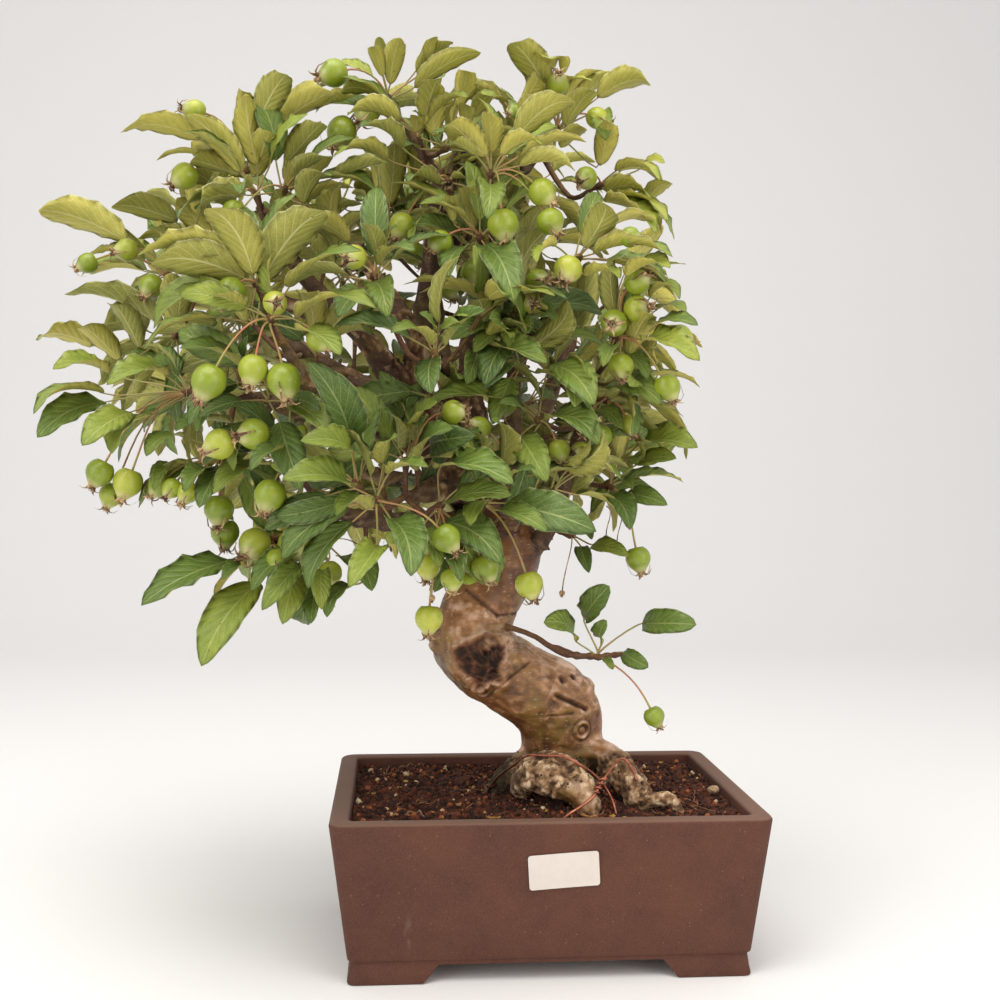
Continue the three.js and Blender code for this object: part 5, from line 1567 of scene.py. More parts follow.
def makeTag():
    bm = bmesh.new()
    roundedPlate(bm, tag["width"], tag["height"], tag["corner"], 5)
    for n in range(1, tag["columns"]):
        bisect(bm, (tag["width"] * (n / tag["columns"] - 0.5), 0, 0), (1, 0, 0))
    for vert in bm.verts:
        # The right-hand end stands off the wall a little
        vert.co.z = -tag["curl"] * max(vert.co.x / tag["width"] + 0.1, 0) ** 2 * 4
    bmesh.ops.solidify(bm, geom=bm.faces[:], thickness=tag["thickness"])
    bmesh.ops.recalc_face_normals(bm, faces=bm.faces)
    slope = math.atan(pot["taper"] / (pot["height"] - pot["footHeight"]))
    place = Vector((tag["at"][0], wallInset(tag["at"][1]) - pot["depth"] / 2, tag["at"][1]))
    move = Matrix.Translation(place) @ Matrix.Rotation(slope, 4, "X")
    move = move @ Matrix.Rotation(tag["tilt"], 4, "Y")
    move = move @ Matrix.Translation((0, -tag["off"], 0)) @ Matrix.Rotation(-math.pi / 2, 4, "X")
    bmesh.ops.transform(bm, matrix=move, verts=bm.verts)
    return bm


wire = {"radius": 0.8, "off": 0.15, "sweeps": 5, "coilOut": 2.1, "coilThin": 0.9}


def wirePath(rows):
    # The wire lies on the roots: it is pushed off the bark and drawn smooth by turns
    points, _ = smoothLine([seen(*row) for row in rows], [1] * len(rows), 4)
    least = wire["radius"] + wire["off"]
    for sweep in range(wire["sweeps"]):
        pushed = []
        for point in points:
            spot, normal, _, gap = trunkTree.find_nearest(point)
            inside = (point - spot).dot(normal) < 0
            pushed.append(spot + normal * least if inside or gap < least else point)
        if sweep == wire["sweeps"] - 1:
            return pushed
        points = [pushed[0]]
        for before, here, after in zip(pushed, pushed[1:], pushed[2:]):
            points.append((before + after) * 0.25 + here * 0.5)
        points.append(pushed[-1])


def coilRound(path, turns, radius, steps=10):
    # A second strand wound round a stretch of the first
    strand = []
    total = turns * steps
    for i in range(total + 1):
        t = i / total * (len(path) - 1)
        k = min(int(t), len(path) - 2)
        along = (path[k + 1] - path[k]).normalized()
        across = along.orthogonal().normalized()
        angle = 2 * math.pi * i / steps
        centre = path[k].lerp(path[k + 1], t - k)
        strand.append(centre + (Quaternion(along, angle) @ across) * radius)
    return strand


def makeWire(rows, coils):
    path = wirePath(rows)
    lines = [(path, [wire["radius"]] * len(path), 0)]
    for low, high, turns in coils:
        stretch = path[int(low * len(path)):int(high * len(path)) + 1]
        strand = coilRound(stretch, turns, wire["radius"] * wire["coilOut"])
        lines.append((strand, [wire["radius"] * wire["coilThin"]] * len(strand), 0))
    return tubeShape("wire", lines, 10)


# Where each wire is wound with a second strand: start and end as shares of its length, and the turns
coils = {"wire_over_roots": [(0.02, 0.13, 4)], "wire_across_roots": [(0.44, 0.62, 4)]}
for name, rows in wireViews.items():
    made = makeWire(rows, coils[name])
    addPiece(name.replace("wire", "copper"), made, [copperWire], [name])
addPiece("grit_stone", makePebble(), [pebbleStone], ["pebble"])
addPiece("blank_tag", makeTag(), [blankPaper], ["paper_tag"], sharpAngle=40)
for name in ("drain_screen_1", "drain_screen_2"):
    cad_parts[name].material_slots[0].material = screenMesh
print("wires, tag and pebble made")


# Leaves, fruit and twigs: where each grows. The rules and the draws are the CAD source's, so that every
# leaf and fruit stands where its solid is.

growth = {
    "slimness": 0.26, "spur": 6, "fruitForward": -12, "fruitSize": 15.5, "leafLengths": (36, 54),
    "shifts": [0, -5, 5, -10, 10, -16, 16, -24, 24, -32, 32],
    "bows": [(-0.08, 0), (0.1, 0), (0, 0.14), (0, -0.14), (0.2, 0.1), (-0.2, -0.1), (0.3, 0),
        (-0.3, 0)],
    "twigRadii": [1.9, 1.7, 1.6, 2.9], "knob": 1.2,
    "found": 0.4, "extra": 7,
}
crown = {
    "at": Vector((-104, 0, 385)), "radii": Vector((200, 160, 185)), "sprays": 14, "share": 0.74,
    "lift": (-0.6, 0.86), "leaves": 6, "deepLeaves": 11,
    "deep": {"low_behind": (-135, 88, 285), "right_behind": (50, 100, 395),
        "high_behind": (-50, 104, 450)},
}
boxLow, boxHigh = toTree @ Vector(cadBox[0]), toTree @ Vector(cadBox[1])
goldenShare = (math.sqrt(5) - 1) / 2
goldenAngle = 2 * math.pi * (1 - goldenShare)


def showsInCrown(place):
    u, v = viewOf(place)
    inside = False
    for (u1, v1), (u2, v2) in zip(crownOutline, crownOutline[1:] + crownOutline[:1]):
        if (v1 > v) != (v2 > v) and u < u1 + (v - v1) * (u2 - u1) / (v2 - v1):
            inside = not inside
    return inside


def inBox(place, margin):
    return all(low + margin < c < high - margin for low, c, high in zip(boxLow, place, boxHigh))


def fits(place, margin=8):
    return showsInCrown(place) and inBox(place, margin)


def nearestWood(place):
    best = None
    for rows in branchLines.values():
        points, _ = woodLine(rows)
        for start, end in zip(points, points[1:]):
            spot = nearestOn(place, start, end)
            if best is None or (spot - place).length < (best - place).length:
                best = spot
    return best


def squareTo(axis, wish, roll):
    return Quaternion(axis, roll) @ (wish - axis * wish.dot(axis)).normalized()


def stalkRoot(spray, n):
    return spray["hub"] - spray["along"] * (1.3 * (n % 4))


def seenLeaf(spray, row, n, attempt):
    footU, footV, tipU, tipV, length = row
    random = draws(spray["seed"] + n)
    depth = spray["depth"] + growth["shifts"][attempt] - 3
    foot = seen(footU, footV, depth)
    lean = math.sqrt(max(0, length * length - (seen(tipU, tipV, depth) - foot).length_squared))
    tip = seen(tipU, tipV, depth - min(lean, 0.75 * length))
    wish = (view["eye"] - foot).normalized() * spray["face"] + up
    normal = squareTo((tip - foot).normalized(), wish, (random() - 0.5) * 0.7)
    seenWidth = max(growth["slimness"] * (tip - foot).length, 0.2 * length)
    return {"root": stalkRoot(spray, n), "foot": foot, "tip": tip, "normal": normal,
        "halfWidth": seenWidth * (0.92 + 0.16 * random())}


def grownLeaf(spray, n, attempt, base=500):
    random = draws(spray["seed"] + base + n * len(growth["shifts"]) + attempt)
    along, outward = spray["along"], spray["outward"]
    turn = n * goldenAngle + (random() - 0.5) * 1.2
    spread = 0.7 + 0.7 * random()
    side = Quaternion(along, turn) @ along.cross(up).normalized()
    way = side * math.sin(spread) + along * math.cos(spread) + outward * 0.35
    way += up * (0.1 + 0.3 * random())
    way.normalize()
    root = stalkRoot(spray, n)
    foot = root + way * (12 + 8 * random())
    length = blend(*growth["leafLengths"], random())
    axis = (way + up * (-0.2 - 0.5 * random())).normalized()
    normal = squareTo(axis, up + outward * 0.5, (random() - 0.5) * 0.9)
    return {"root": root, "foot": foot, "tip": foot + axis * length, "normal": normal,
        "halfWidth": growth["slimness"] * length}


def hanging(root, centre):
    return ((centre - root).normalized() * 0.6 - up * 0.4).normalized()


def seenFruit(spray, row, n, attempt):
    u, v, diameter = row
    centre = seen(u, v, spray["depth"] + growth["fruitForward"] + growth["shifts"][attempt])
    root = stalkRoot(spray, n)
    return {"root": root, "centre": centre, "axis": hanging(root, centre), "radius": diameter / 2}


def grownFruit(spray, n, attempt, base=900):
    random = draws(spray["seed"] + base + n * len(growth["shifts"]) + attempt)
    turn, reach = 2 * math.pi * random(), 14 + 8 * random()
    root = stalkRoot(spray, n)
    drop = Vector((reach * math.cos(turn), reach * math.sin(turn), -18 - 10 * random()))
    centre = root + spray["outward"] * 10 + drop
    return {"root": root, "centre": centre, "axis": hanging(root, centre),
        "radius": growth["fruitSize"] * (0.45 + 0.1 * random())}


def leafTip(leaf):
    return leaf["tip"]


def fruitTip(fruit):
    return fruit["centre"] + fruit["axis"] * (1.28 * fruit["radius"])


def settled(spray, make, tipOf):
    # The attempt that the CAD source kept, found by its tip; the first where its solid has none
    tries = [make(attempt) for attempt in range(len(growth["shifts"]))]
    gaps = [spray["corners"].find(tipOf(t))[2] for t in tries]
    near = min(range(len(tries)), key=lambda k: gaps[k])
    return (tries[near], True) if gaps[near] < growth["found"] else (tries[0], False)


def twigLine(hub, foot, bow):
    sag, sway = bow
    reach = (foot - hub).length
    across = (hub - foot).normalized().cross(up).normalized()
    middle = foot.lerp(hub, 0.5) + up * (sag * reach) + across * (sway * reach)
    along = (hub - middle).normalized()
    return [foot, middle, hub - along * growth["spur"], hub], along


def newSpray(name, hub, number, data=None):
    spray = {"name": name, "hub": hub, "seed": number * 1000, "depth": hub.y,
        "outward": (hub - crown["at"]).normalized(), "face": (data or {}).get("face", 0),
        "front": data is not None, "strays": {"leaves": [], "fruit": [], "fruitlets": []}, "young": {}}
    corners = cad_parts[name].data.vertices
    spray["corners"] = KDTree(len(corners))
    for i, corner in enumerate(corners):
        spray["corners"].insert(toTree @ corner.co, i)
    spray["corners"].balance()
    return spray


def growTwig(spray):
    foot = nearestWood(spray["hub"])
    lines = [twigLine(spray["hub"], foot, bow) for bow in growth["bows"]]
    gaps = [spray["corners"].find(spray["hub"] + along * (growth["spur"] / 2))[2] for _, along in lines]
    spray["twig"], spray["along"] = lines[min(range(len(lines)), key=lambda k: gaps[k])]


def settleSeen(spray, data):
    spray["leaves"] = [settled(spray, lambda a: seenLeaf(spray, row, n, a), leafTip)
        for n, row in enumerate(data["leaves"])]
    spray["fruit"] = [settled(spray, lambda a: seenFruit(spray, row, n, a), fruitTip)
        for n, row in enumerate(data["fruit"])]
    return spray


def frontSpray(name, data, number):
    spray = newSpray(f"spray_{name}", seen(*data["hub"]), number, data)
    spray["depth"] = data["hub"][2]
    growTwig(spray)
    return settleSeen(spray, data)


def backSpray(n):
    rise = blend(*crown["lift"], (n + 0.5) / crown["sprays"])
    turn = math.pi * (((n * goldenShare) % 1) * 0.94 + 0.03)
    level = math.sqrt(1 - rise * rise)
    outward = Vector((level * math.cos(turn), level * math.sin(turn), rise))
    hub = crown["at"] + outward * crown["radii"] * crown["share"]
    while not showsInCrown(hub + outward * growth["leafLengths"][0]):
        hub = hub.lerp(crown["at"], 0.05)
    return ruledSpray(f"spray_back_{n + 1}", hub, len(frontSprays) + n, crown["leaves"], n % 2)


def ruledSpray(name, hub, number, leafCount, fruitCount):
    spray = newSpray(name, hub, number)
    growTwig(spray)
    leaves = [settled(spray, lambda a: grownLeaf(spray, k, a), leafTip) for k in range(leafCount)]
    fruit = [settled(spray, lambda a: grownFruit(spray, k, a), fruitTip) for k in range(fruitCount)]
    spray["leaves"] = [pair for pair in leaves if pair[1]]
    spray["fruit"] = [pair for pair in fruit if pair[1]]
    return spray


def shootSpray():
    start = [[488, 622, -18, 2.2], [510, 628, -28, 2.3], [530, 635, -35, 2]]
    points, radii = woodLine(start + sideShootLine[3:])
    number = len(frontSprays) + crown["sprays"]
    spray = newSpray("side_shoot", seen(*sideShoot["hub"]), number, sideShoot)
    spray["depth"] = sideShoot["hub"][2]
    # Its young leaves are blunt and turn to the viewer
    spray["face"], spray["young"] = 2.4, {"point": 0.55}
    spray["along"] = (points[-2] - points[-3]).normalized()
    stem, widths = smoothLine(points, radii, 6)
    random = draws(611)
    spray["twig"] = [place + noise.noise_vector(place / 7) * 0.9 for place in stem]
    spray["twigRadii"] = [w * (0.82 + 0.32 * (random() > 0.72)) for w in widths]
    return settleSeen(spray, sideShoot)


sprays = [frontSpray(name, data, number) for number, (name, data) in enumerate(frontSprays.items())]
sprays += [backSpray(n) for n in range(crown["sprays"])]
sprays.append(shootSpray())
for name, hub in crown["deep"].items():
    sprays.append(ruledSpray(f"spray_{name}", Vector(hub), len(sprays), crown["deepLeaves"], 1))
kept = [sum(found for _, found in spray[kind]) for spray in sprays for kind in ("leaves", "fruit")]
print("sprays laid out:", len(sprays), "with", sum(kept), "leaves and fruits on their solids")


# The number of each part's material in foliageMaterials
part = {"leafBack": 1, "fruitSkin": 2, "calyx": 3, "twig": 4, "leafStalk": 5, "fruitStalk": 6}


def paintFaces(faces, name):
    for face in faces:
        face.material_index = part[name]


# The shape of one leaf, in its own measures: x across from -1 to 1, y along the blade from 0 to 1, and
# z -1 underneath and 1 on top
leafLook = {
    "rows": 14, "columns": 4, "thickness": 0.3, "arch": 0.11, "round": 0.62, "point": 0.74,
    "slender": 0.86, "fold": (0.25, 0.85), "twist": 0.6, "wave": 0.02, "waves": 3.5, "teeth": 0.03,
    "hook": 0.1, "stalk": 0.62, "stalkTaper": (1.25, 1.0, 0.9, 0.88, 0.85, 0.5),
}


def bladeWidth(y, point):
    crest = leafLook["round"] / (leafLook["round"] + point)
    best = crest ** leafLook["round"] * (1 - crest) ** point
    return max(y, 0) ** leafLook["round"] * max(1 - y, 0) ** point / best


def makeLeafShape():
    bm = bmesh.new()
    bmesh.ops.create_grid(bm, x_segments=leafLook["columns"], y_segments=leafLook["rows"], size=1)
    for vert in bm.verts:
        y = (vert.co.y + 1) / 2
        if round(y * leafLook["rows"]) % 2:
            vert.co.x *= 1 - leafLook["teeth"] * abs(vert.co.x)
        vert.co.y = blend(y, 0.5 - 0.5 * math.cos(math.pi * y), 0.45)
    uv = bm.loops.layers.uv.new("grain")
    bm.verts.layers.float_color.new("tint")
    for face in bm.faces:
        for loop in face.loops:
            loop[uv].uv = ((loop.vert.co.x + 1) / 2, loop.vert.co.y)
    top = bm.faces[:]
    inner = [v for v in bm.verts if not v.is_boundary]
    made = bmesh.ops.duplicate(bm, geom=bm.verts[:] + bm.edges[:] + top)["geom"]
    under = only(made, bmesh.types.BMFace)
    paintFaces(under, "leafBack")
    for vert in only(made, bmesh.types.BMVert):
        vert.co.z = 0 if vert.is_boundary else -1
    for vert in inner:
        vert.co.z = 1
    bmesh.ops.reverse_faces(bm, faces=under)
    for vert in bm.verts:
        if vert.co.z == 0 and not 0.001 < vert.co.y < 0.999:
            vert.co.x = 0
    bmesh.ops.remove_doubles(bm, verts=bm.verts, dist=1e-4)
    return meshOf(bm, "leafShape")


fruitLook = {
    "neck": 1.18, "sepals": [1.7, 0.8, 2.3, 0.5, 1.4], "reach": 0.86, "dried": 1.9,
    "stalk": [0.95, 0.75, 0.62, 0.58, 0.56, 0.56, 0.58, 0.64, 0.7],
}


def makeFruitShape():
    # Along z from the stalk at -1 to the neck, with five dry sepals and a tuft beyond it
    bm = bmesh.new()
    uv = bm.loops.layers.uv.new("grain")
    bm.verts.layers.float_color.new("tint")
    bmesh.ops.create_uvsphere(bm, u_segments=16, v_segments=10, radius=1)
    paintFaces(bm.faces, "fruitSkin")
    for face in bm.faces:
        for loop in face.loops:
            loop[uv].uv = (0.5, (loop.vert.co.z + 1) / 2)
    for vert in bm.verts:
        z = vert.co.z
        if z > 0.97:
            vert.co.z = fruitLook["neck"] - 0.04
        elif z > 0.9:
            vert.co.z = fruitLook["neck"]
        elif z > 0.7:
            vert.co = (vert.co.x * 0.92, vert.co.y * 0.92, 0.9)
        elif z < -0.9:
            vert.co.z = z + 0.14
    for n, bend in enumerate(fruitLook["sepals"]):
        sepal = bmesh.new()
        bmesh.ops.create_cone(sepal, cap_ends=True, segments=4, radius1=0.24, radius2=0.03, depth=1)
        for height in (-0.25, 0, 0.25):
            bisect(sepal, (0, 0, height), up)
        turn = Quaternion(up, 2 * math.pi * (n + 0.17 * bend) / 5)
        for vert in sepal.verts:
            t = vert.co.z + 0.5
            angle = bend * t * t + 0.25
            reach, base = fruitLook["reach"] * t, fruitLook["neck"] - 0.1
            spine = Vector((0.2 + reach * math.sin(angle * 0.8), 0, base + reach * math.cos(angle)))
            wide = vert.co.x * 0.3
            vert.co = turn @ (spine + Vector((wide * math.cos(angle), vert.co.y, -wide)))
        paintFaces(sepal.faces, "calyx")
        bm.from_mesh(meshOf(sepal, "sepal"))
    for n in range(6):
        hair = bmesh.ops.create_cone(bm, cap_ends=True, segments=3, radius1=0.05, radius2=0.012,
            depth=0.5)
        lean = Quaternion(Vector((math.cos(n * 2.4), math.sin(n * 2.4), 0)), 0.2 + 0.09 * n)
        for vert in hair["verts"]:
            vert.co = lean @ (vert.co + Vector((0, 0, 0.25))) + Vector((0, 0, fruitLook["neck"] - 0.08))
        paintFaces({f for v in hair["verts"] for f in v.link_faces}, "calyx")
    return meshOf(bm, "fruitShape")


leafShape, fruitShape = makeLeafShape(), makeFruitShape()
foliageMaterials = [leafTop, leafBack, fruitSkin, driedCalyx, twigBark, leafStalk, fruitStalk]


def addLeaf(bm, leaf, random, tone):
    look = leafLook
    axis = leaf["tip"] - leaf["foot"]
    length = axis.length
    axis.normalize()
    side = axis.cross(leaf["normal"]).normalized()
    top = side.cross(axis)
    halfWidth, arch = leaf["halfWidth"] * look["slender"], look["arch"] * (0.7 + 0.7 * random())
    point = leaf.get("point", look["point"])
    fold = blend(*look["fold"], random())
    twist = look["twist"] * (random() - 0.5)
    phase, waveHeight = 6.28 * random(), look["wave"] * length * (0.4 + random())
    waves = look["waves"] * (0.7 + 0.6 * random())
    lean = (random() - 0.5) * 0.12 * length
    hook = look["hook"] * length * (random() * 3 - 0.8)
    tint = (tone, random(), random(), 1)
    start = len(bm.verts)
    bm.from_mesh(leafShape)
    bm.verts.ensure_lookup_table()
    layer = bm.verts.layers.float_color["tint"]
    for vert in bm.verts[start:]:
        x, y, z = vert.co
        rise = 4 * arch * length * y * (1 - y) * (1 + 0.5 * (y - 0.5))
        slope = 4 * arch * (1 - 2 * y)
        facing = (top - axis * slope).normalized()
        across = Quaternion(axis, twist * (y - 0.3)) @ side
        facing = Quaternion(axis, twist * (y - 0.3)) @ facing
        width = halfWidth * bladeWidth(y, point)
        bent = fold * (1 - 0.35 * y)
        out = abs(x)
        lift = width * out ** 1.25 * math.sin(bent)
        beat = 2 * math.pi * waves * y + phase + (1.3 if x > 0 else 0)
        lift += waveHeight * math.sin(beat) * out ** 2
        lift *= min(1, 6 * y) * min(1, 5 * (1 - y))
        rise -= hook * max(y - 0.6, 0) ** 2
        spot = leaf["foot"] + axis * (y * length) + top * rise + side * (lean * 4 * y * (1 - y))
        lift += z * look["thickness"] / 2
        vert.co = spot + across * (x * width * math.cos(bent)) + facing * lift
        vert[layer] = tint
    keepInBox(bm.verts[start:])
    reach = (leaf["foot"] - leaf["root"]).length
    setOff = (leaf["foot"] - leaf["root"]).normalized() * (0.35 * reach) + up * (0.08 * reach)
    inBlade = leaf["foot"] + axis * (0.06 * length) + top * (0.02 * length)
    arrival = (axis + top * (4 * arch)).normalized() * (0.35 * reach)
    points = arc(leaf["root"], setOff, inBlade, arrival, 5)
    return points, [look["stalk"] * w for w in look["stalkTaper"]], part["leafStalk"]


def addFruit(bm, fruit, random, outward):
    axis, radius = fruit["axis"], fruit["radius"]
    turn = axis.to_track_quat("Z", "Y").to_matrix().to_4x4() @ Matrix.Rotation(6.28 * random(), 4, "Z")
    wide, tall = radius * (0.96 + 0.06 * random()), radius * (0.94 + 0.1 * random())
    squash = Matrix.Diagonal((radius, wide, tall, 1))
    move = Matrix.Translation(fruit["centre"]) @ turn @ squash
    start = len(bm.verts)
    bm.from_mesh(fruitShape)
    bm.verts.ensure_lookup_table()
    layer = bm.verts.layers.float_color["tint"]
    tint = (random(), random(), random(), 1)
    for vert in bm.verts[start:]:
        vert.co = move @ vert.co
        vert[layer] = tint
    end = fruit["centre"] - axis * (0.8 * radius)
    way = end - fruit["root"]
    reach = way.length
    setOff = (outward * 0.7 + up * 0.55 + way.normalized() * 0.5).normalized() * (0.36 * reach)
    points = arc(fruit["root"], setOff, end, axis * (0.42 * reach), 8)
    return points, fruitLook["stalk"], part["fruitStalk"]


def toneOf(place, random):
    # Lighter and yellower high in the crown and at its edge, deeper green low and inside
    height = ease(250, 520, place.z)
    edge = ease(0.45, 1.05, ((place - crown["at"]) * Vector([1 / r for r in crown["radii"]])).length)
    return min(max(0.16 + 0.28 * height + 0.2 * edge + 0.5 * (random() - 0.42), 0.02), 0.98)


def turnLeaf(leaf, random):
    # Some leaves lie flat and show what is under them to a low eye, others hang and show their face
    way = leaf["tip"] - leaf["foot"]
    outward = (leaf["foot"] - crown["at"]).normalized()
    wish = up + outward * (1.9 * random() - 0.2)
    leaf["normal"] = squareTo(way.normalized(), wish, (random() - 0.5) * 1.3)


def extraLeaves(spray, count, base):
    # Smaller leaves behind and round the ones that have solids
    made = []
    for n in range(count):
        for attempt in range(6):
            leaf = grownLeaf(spray, n, attempt, base)
            random = draws(spray["seed"] + base + 300 + n)
            scale = 0.7 + 0.35 * random()
            leaf["tip"] = leaf["foot"].lerp(leaf["tip"], scale)
            leaf["halfWidth"] *= scale
            turnLeaf(leaf, random)
            if fits(leaf["tip"]) and leaf["tip"].y > spray["hub"].y - 14:
                made.append(leaf)
                break
    return made


def keepInBox(verts):
    # What arches past the object's box is moved back into it whole, so that it keeps its shape
    for axis in range(3):
        low, high = min(v.co[axis] for v in verts), max(v.co[axis] for v in verts)
        move = max(boxLow[axis] + 0.1 - low, 0) + min(boxHigh[axis] - 0.1 - high, 0)
        if move:
            for vert in verts:
                vert.co[axis] += move


def holdInBox(bm):
    for vert in bm.verts:
        vert.co = [min(max(c, low + 0.1), high - 0.1) for low, c, high in zip(boxLow, vert.co, boxHigh)]


def newFoliage():
    bm = bmesh.new()
    bm.loops.layers.uv.new("grain")
    bm.verts.layers.float_color.new("tint")
    return bm


def buildSpray(spray, extra):
    bm = newFoliage()
    random = draws(spray["seed"] + 77)
    if "twigRadii" in spray:
        lines = [(spray["twig"], spray["twigRadii"], part["twig"])]
    else:
        points, radii = smoothLine(spray["twig"], growth["twigRadii"], 5)
        knob = spray["hub"] + spray["along"] * (growth["spur"] / 2)
        lines = [(points + [knob], radii + [growth["knob"]], part["twig"])]
    leaves = [{**leaf, **spray["young"]} for leaf, _ in spray["leaves"]]
    leaves += extraLeaves(spray, extra, 300)
    for leaf in leaves:
        lines.append(addLeaf(bm, leaf, random, toneOf(leaf["foot"], random)))
    for fruit, _ in spray["fruit"]:
        lines.append(addFruit(bm, fruit, random, spray["outward"]))
    addStrays(spray, bm, lines, random)
    bm.from_mesh(tubes("stalks", lines, 6, foliageMaterials))
    name = "foliage_" + spray["name"].removeprefix("spray_")
    holdInBox(bm)
    addPiece(name, bm, foliageMaterials, [spray["name"]])
    return len(leaves)


# Small leaves, fruits and withered fruitlets as seen round the sprays. Each grows from the spray whose
# hub is nearest. Leaves are foot, tip and length, fruits place and diameter, fruitlets place and stalk.
strays = {
    "leaves": [(381, 62, 379, 36, 22), (418, 148, 402, 146, 24), (563, 74, 562, 56, 22),
        (642, 167, 665, 163, 26), (622, 480, 633, 490, 22), (576, 528, 592, 539, 22),
        (601, 110, 606, 140, 30), (430, 60, 436, 34, 26)],
    "fruit": [(514, 111, 9), (538, 281, 14), (630, 237, 12), (602, 436, 13), (452, 579, 13),
        (528, 300, 14), (354, 257, 14), (277, 560, 13), (586, 425, 12), (581, 452, 13), (187, 492, 12),
        (172, 488, 12)],
    "fruitlets": [(360, 546, 34), (562, 593, 66), (617, 544, 22), (606, 538, 20), (432, 598, 24)],
}


def addStrays(spray, bm, lines, random):
    for row in spray["strays"]["leaves"]:
        leaf = seenLeaf({**spray, "face": 0.6}, row, int(9 * random()), 0)
        lines.append(addLeaf(bm, leaf, random, toneOf(leaf["foot"], random)))
    for row in spray["strays"]["fruit"]:
        fruit = seenFruit(spray, row, int(4 * random()), 3)
        lines.append(addFruit(bm, fruit, random, spray["outward"]))
    for u, v, stalk in spray["strays"]["fruitlets"]:
        centre = seen(u, v, spray["depth"] - 6)
        root = spray["hub"] if (spray["hub"] - centre).length < stalk else centre + up * stalk
        fruitlet = {"root": root, "centre": centre, "axis": hanging(root, centre),
            "radius": fruitLook["dried"]}
        start = len(bm.faces)
        points, radii, _ = addFruit(bm, fruitlet, random, spray["outward"] * 0.2)
        bm.faces.ensure_lookup_table()
        paintFaces(bm.faces[start:], "calyx")
        lines.append((points, [0.6 * r for r in radii], part["calyx"]))


def nearestSpray(u, v):
    return min((s for s in sprays if s["front"]), key=lambda s: math.dist(viewOf(s["hub"]), (u, v)))


for kind, rows in strays.items():
    for row in rows:
        nearestSpray(*row[:2])["strays"][kind].append(row)


leafCount = 0
for spray in sprays:
    leafCount += buildSpray(spray, 0 if spray["name"] == "side_shoot" else growth["extra"])
print("sprays made:", leafCount, "leaves")


# Short spurs along the branches that fill the crown between the sprays

filling = {
    "step": 16, "leaves": 6, "start": 0.34, "fruitShare": 0.1, "behindShare": 2.2, "behind": 20,
    "lengths": (30, 50), "reach": (10, 36), "stem": [1.5, 1.25, 1.9],
}


def fillBranch(name, rows, number):
    random = draws(50000 + number * 97)
    points, radii = smoothLine(*woodLine(rows), 10)
    bm = newFoliage()
    lines, count, since = [], 0, 0.0
    for i in range(int(filling["start"] * len(points)), len(points) - 1):
        since += (points[i + 1] - points[i]).length
        if since < filling["step"] * (0.7 + 0.6 * random()):
            continue
        since = 0.0
        along = (points[i + 1] - points[i]).normalized()
        away = (points[i] - crown["at"]).normalized()
        way = Quaternion(along, 6.28 * random()) @ along.orthogonal().normalized()
        way = (way + away * 0.5 + up * 0.35 + Vector((0, 0.25, 0))).normalized()
        reach = blend(*filling["reach"], random())
        hub = points[i] + way * (radii[i] + reach)
        spray = {"hub": hub, "along": way, "outward": (away + way).normalized(),
            "seed": 60000 + number * 1000 + i * 40}
        leaves = []
        for n in range(filling["leaves"]):
            leaf = grownLeaf(spray, n, int(4 * random()))
            scale = blend(*filling["lengths"], random()) / (leaf["tip"] - leaf["foot"]).length
            leaf["tip"] = leaf["foot"] + (leaf["tip"] - leaf["foot"]) * scale
            leaf["halfWidth"] *= scale
            turnLeaf(leaf, random)
            if fits(leaf["tip"]):
                leaves.append(leaf)
        if not leaves:
            continue
        middle = points[i].lerp(hub, 0.5) - up * (0.06 * reach)
        stem, widths = smoothLine([points[i], middle, hub], filling["stem"], 3)
        lines.append((stem, widths, part["twig"]))
        for leaf in leaves:
            lines.append(addLeaf(bm, leaf, random, toneOf(leaf["foot"], random)))
        count += len(leaves)
        more = filling["behindShare"] if hub.y > filling["behind"] else 1
        if random() < filling["fruitShare"] * more:
            fruit = grownFruit(spray, 0, 0)
            if fits(fruit["centre"], 16):
                lines.append(addFruit(bm, fruit, random, spray["outward"]))
    if lines:
        bm.from_mesh(tubes("stalks", lines, 6, foliageMaterials))
        holdInBox(bm)
        addPiece(f"spurs_{name}", bm, foliageMaterials)
    return count


fillCount = 0
for number, (name, rows) in enumerate(branchLines.items()):
    if name != "cutLimb":
        fillCount += fillBranch(name, rows, number)
print("spurs made:", fillCount, "leaves")


# Floor and light

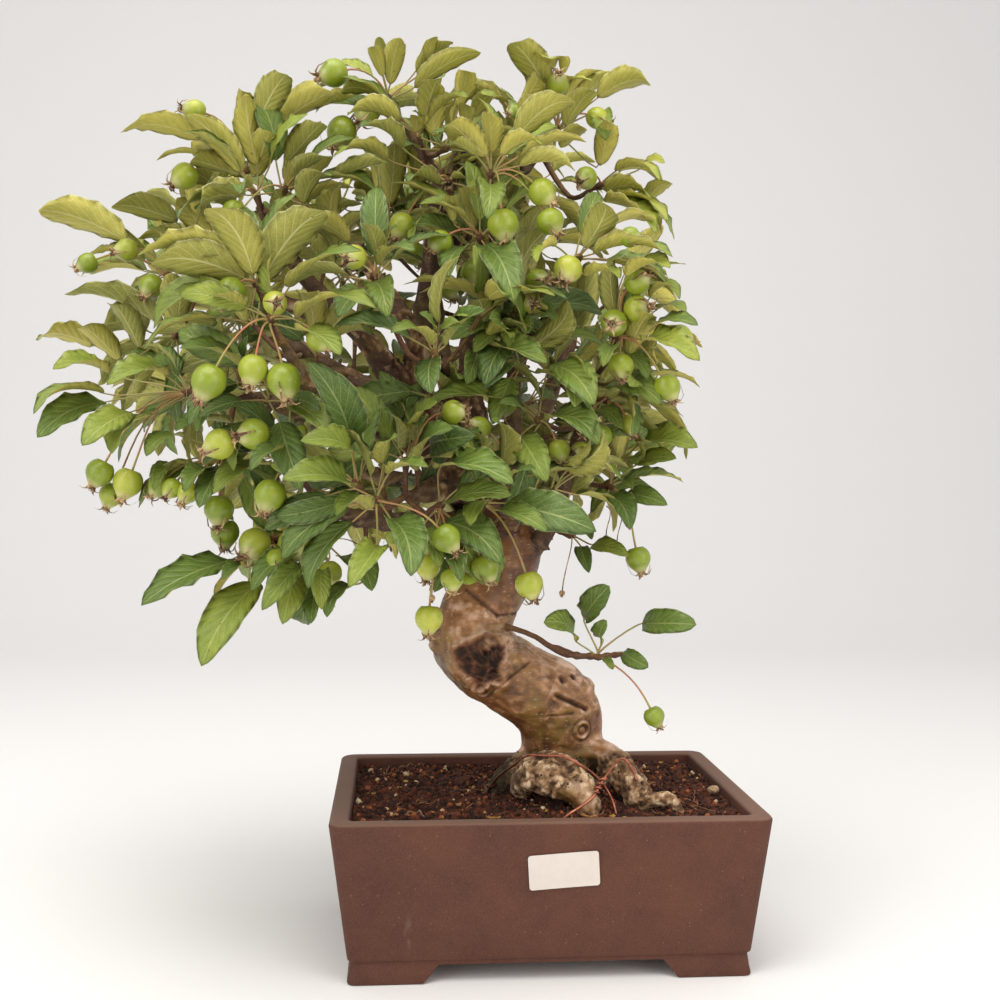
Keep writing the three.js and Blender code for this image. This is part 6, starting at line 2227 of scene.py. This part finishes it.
studio = {
    "width": 6, "front": -3, "back": 2.2, "rise": 3.2, "bend": 0.9, "paper": (0.85, 0.835, 0.825),
    "air": (0.92, 0.93, 0.94), "airStrength": 0.62,
}
lights = {
    "topSoftbox": {"at": (-0.15, -0.5, 1.75), "aim": (0, 0, 0.3), "size": (1.7, 1.3), "power": 27,
        "colour": (1, 0.97, 0.92)},
    "leftSoftbox": {"at": (-1.35, -1.2, 0.9), "aim": (0, 0, 0.3), "size": (1.1, 1.5), "power": 12,
        "colour": (1, 0.985, 0.95)},
    "rightSoftbox": {"at": (1.3, -1.3, 0.75), "aim": (0, 0, 0.25), "size": (1.0, 1.3), "power": 10,
        "colour": (1, 0.96, 0.9)},
}


def makeFloor():
    # A floor that curves up into the wall behind
    bm = bmesh.new()
    row = [bm.verts.new((x * studio["width"] / 2, studio["front"], 0)) for x in (-1, 1)]
    edge = bm.edges.new(row)
    profile = [(studio["back"] - studio["bend"], 0)]
    for step in range(1, 9):
        angle = math.pi / 2 * step / 8
        out, rise = studio["bend"] * (math.sin(angle) - 1), studio["bend"] * (1 - math.cos(angle))
        profile.append((studio["back"] + out, rise))
    profile.append((studio["back"], studio["rise"]))
    for y, z in profile:
        made = bmesh.ops.extrude_edge_only(bm, edges=[edge])["geom"]
        edge = only(made, bmesh.types.BMEdge)[0]
        for vert in edge.verts:
            vert.co = (vert.co.x, y, z)
    for face in bm.faces:
        face.smooth = True
    mesh = meshOf(bm, "floor")
    material, _, inputs = newMaterial("floorPaper", Roughness=0.9)
    inputs["Base Color"].default_value = (*studio["paper"], 1)
    mesh.materials.append(material)
    floor = bpy.data.objects.new("floor", mesh)
    intoScene(floor)


def addLight(name, data):
    light = bpy.data.lights.new(name, "AREA")
    light.shape = "RECTANGLE"
    light.size, light.size_y = data["size"]
    light.energy, light.color = data["power"], data["colour"]
    holder = bpy.data.objects.new(name, light)
    holder.location = data["at"]
    way = Vector(data["aim"]) - Vector(data["at"])
    holder.rotation_euler = way.to_track_quat("-Z", "Y").to_euler()
    intoScene(holder)


def lightTheAir():
    world = bpy.data.worlds.new("studio")
    world.use_nodes = True
    inputs = world.node_tree.nodes["Background"].inputs
    inputs[0].default_value, inputs[1].default_value = (*studio["air"], 1), studio["airStrength"]
    bpy.context.scene.world = world
    bpy.context.scene.view_settings.view_transform = "Standard"


makeFloor()
for name, data in lights.items():
    addLight(name, data)
lightTheAir()
print("floor and lights made")
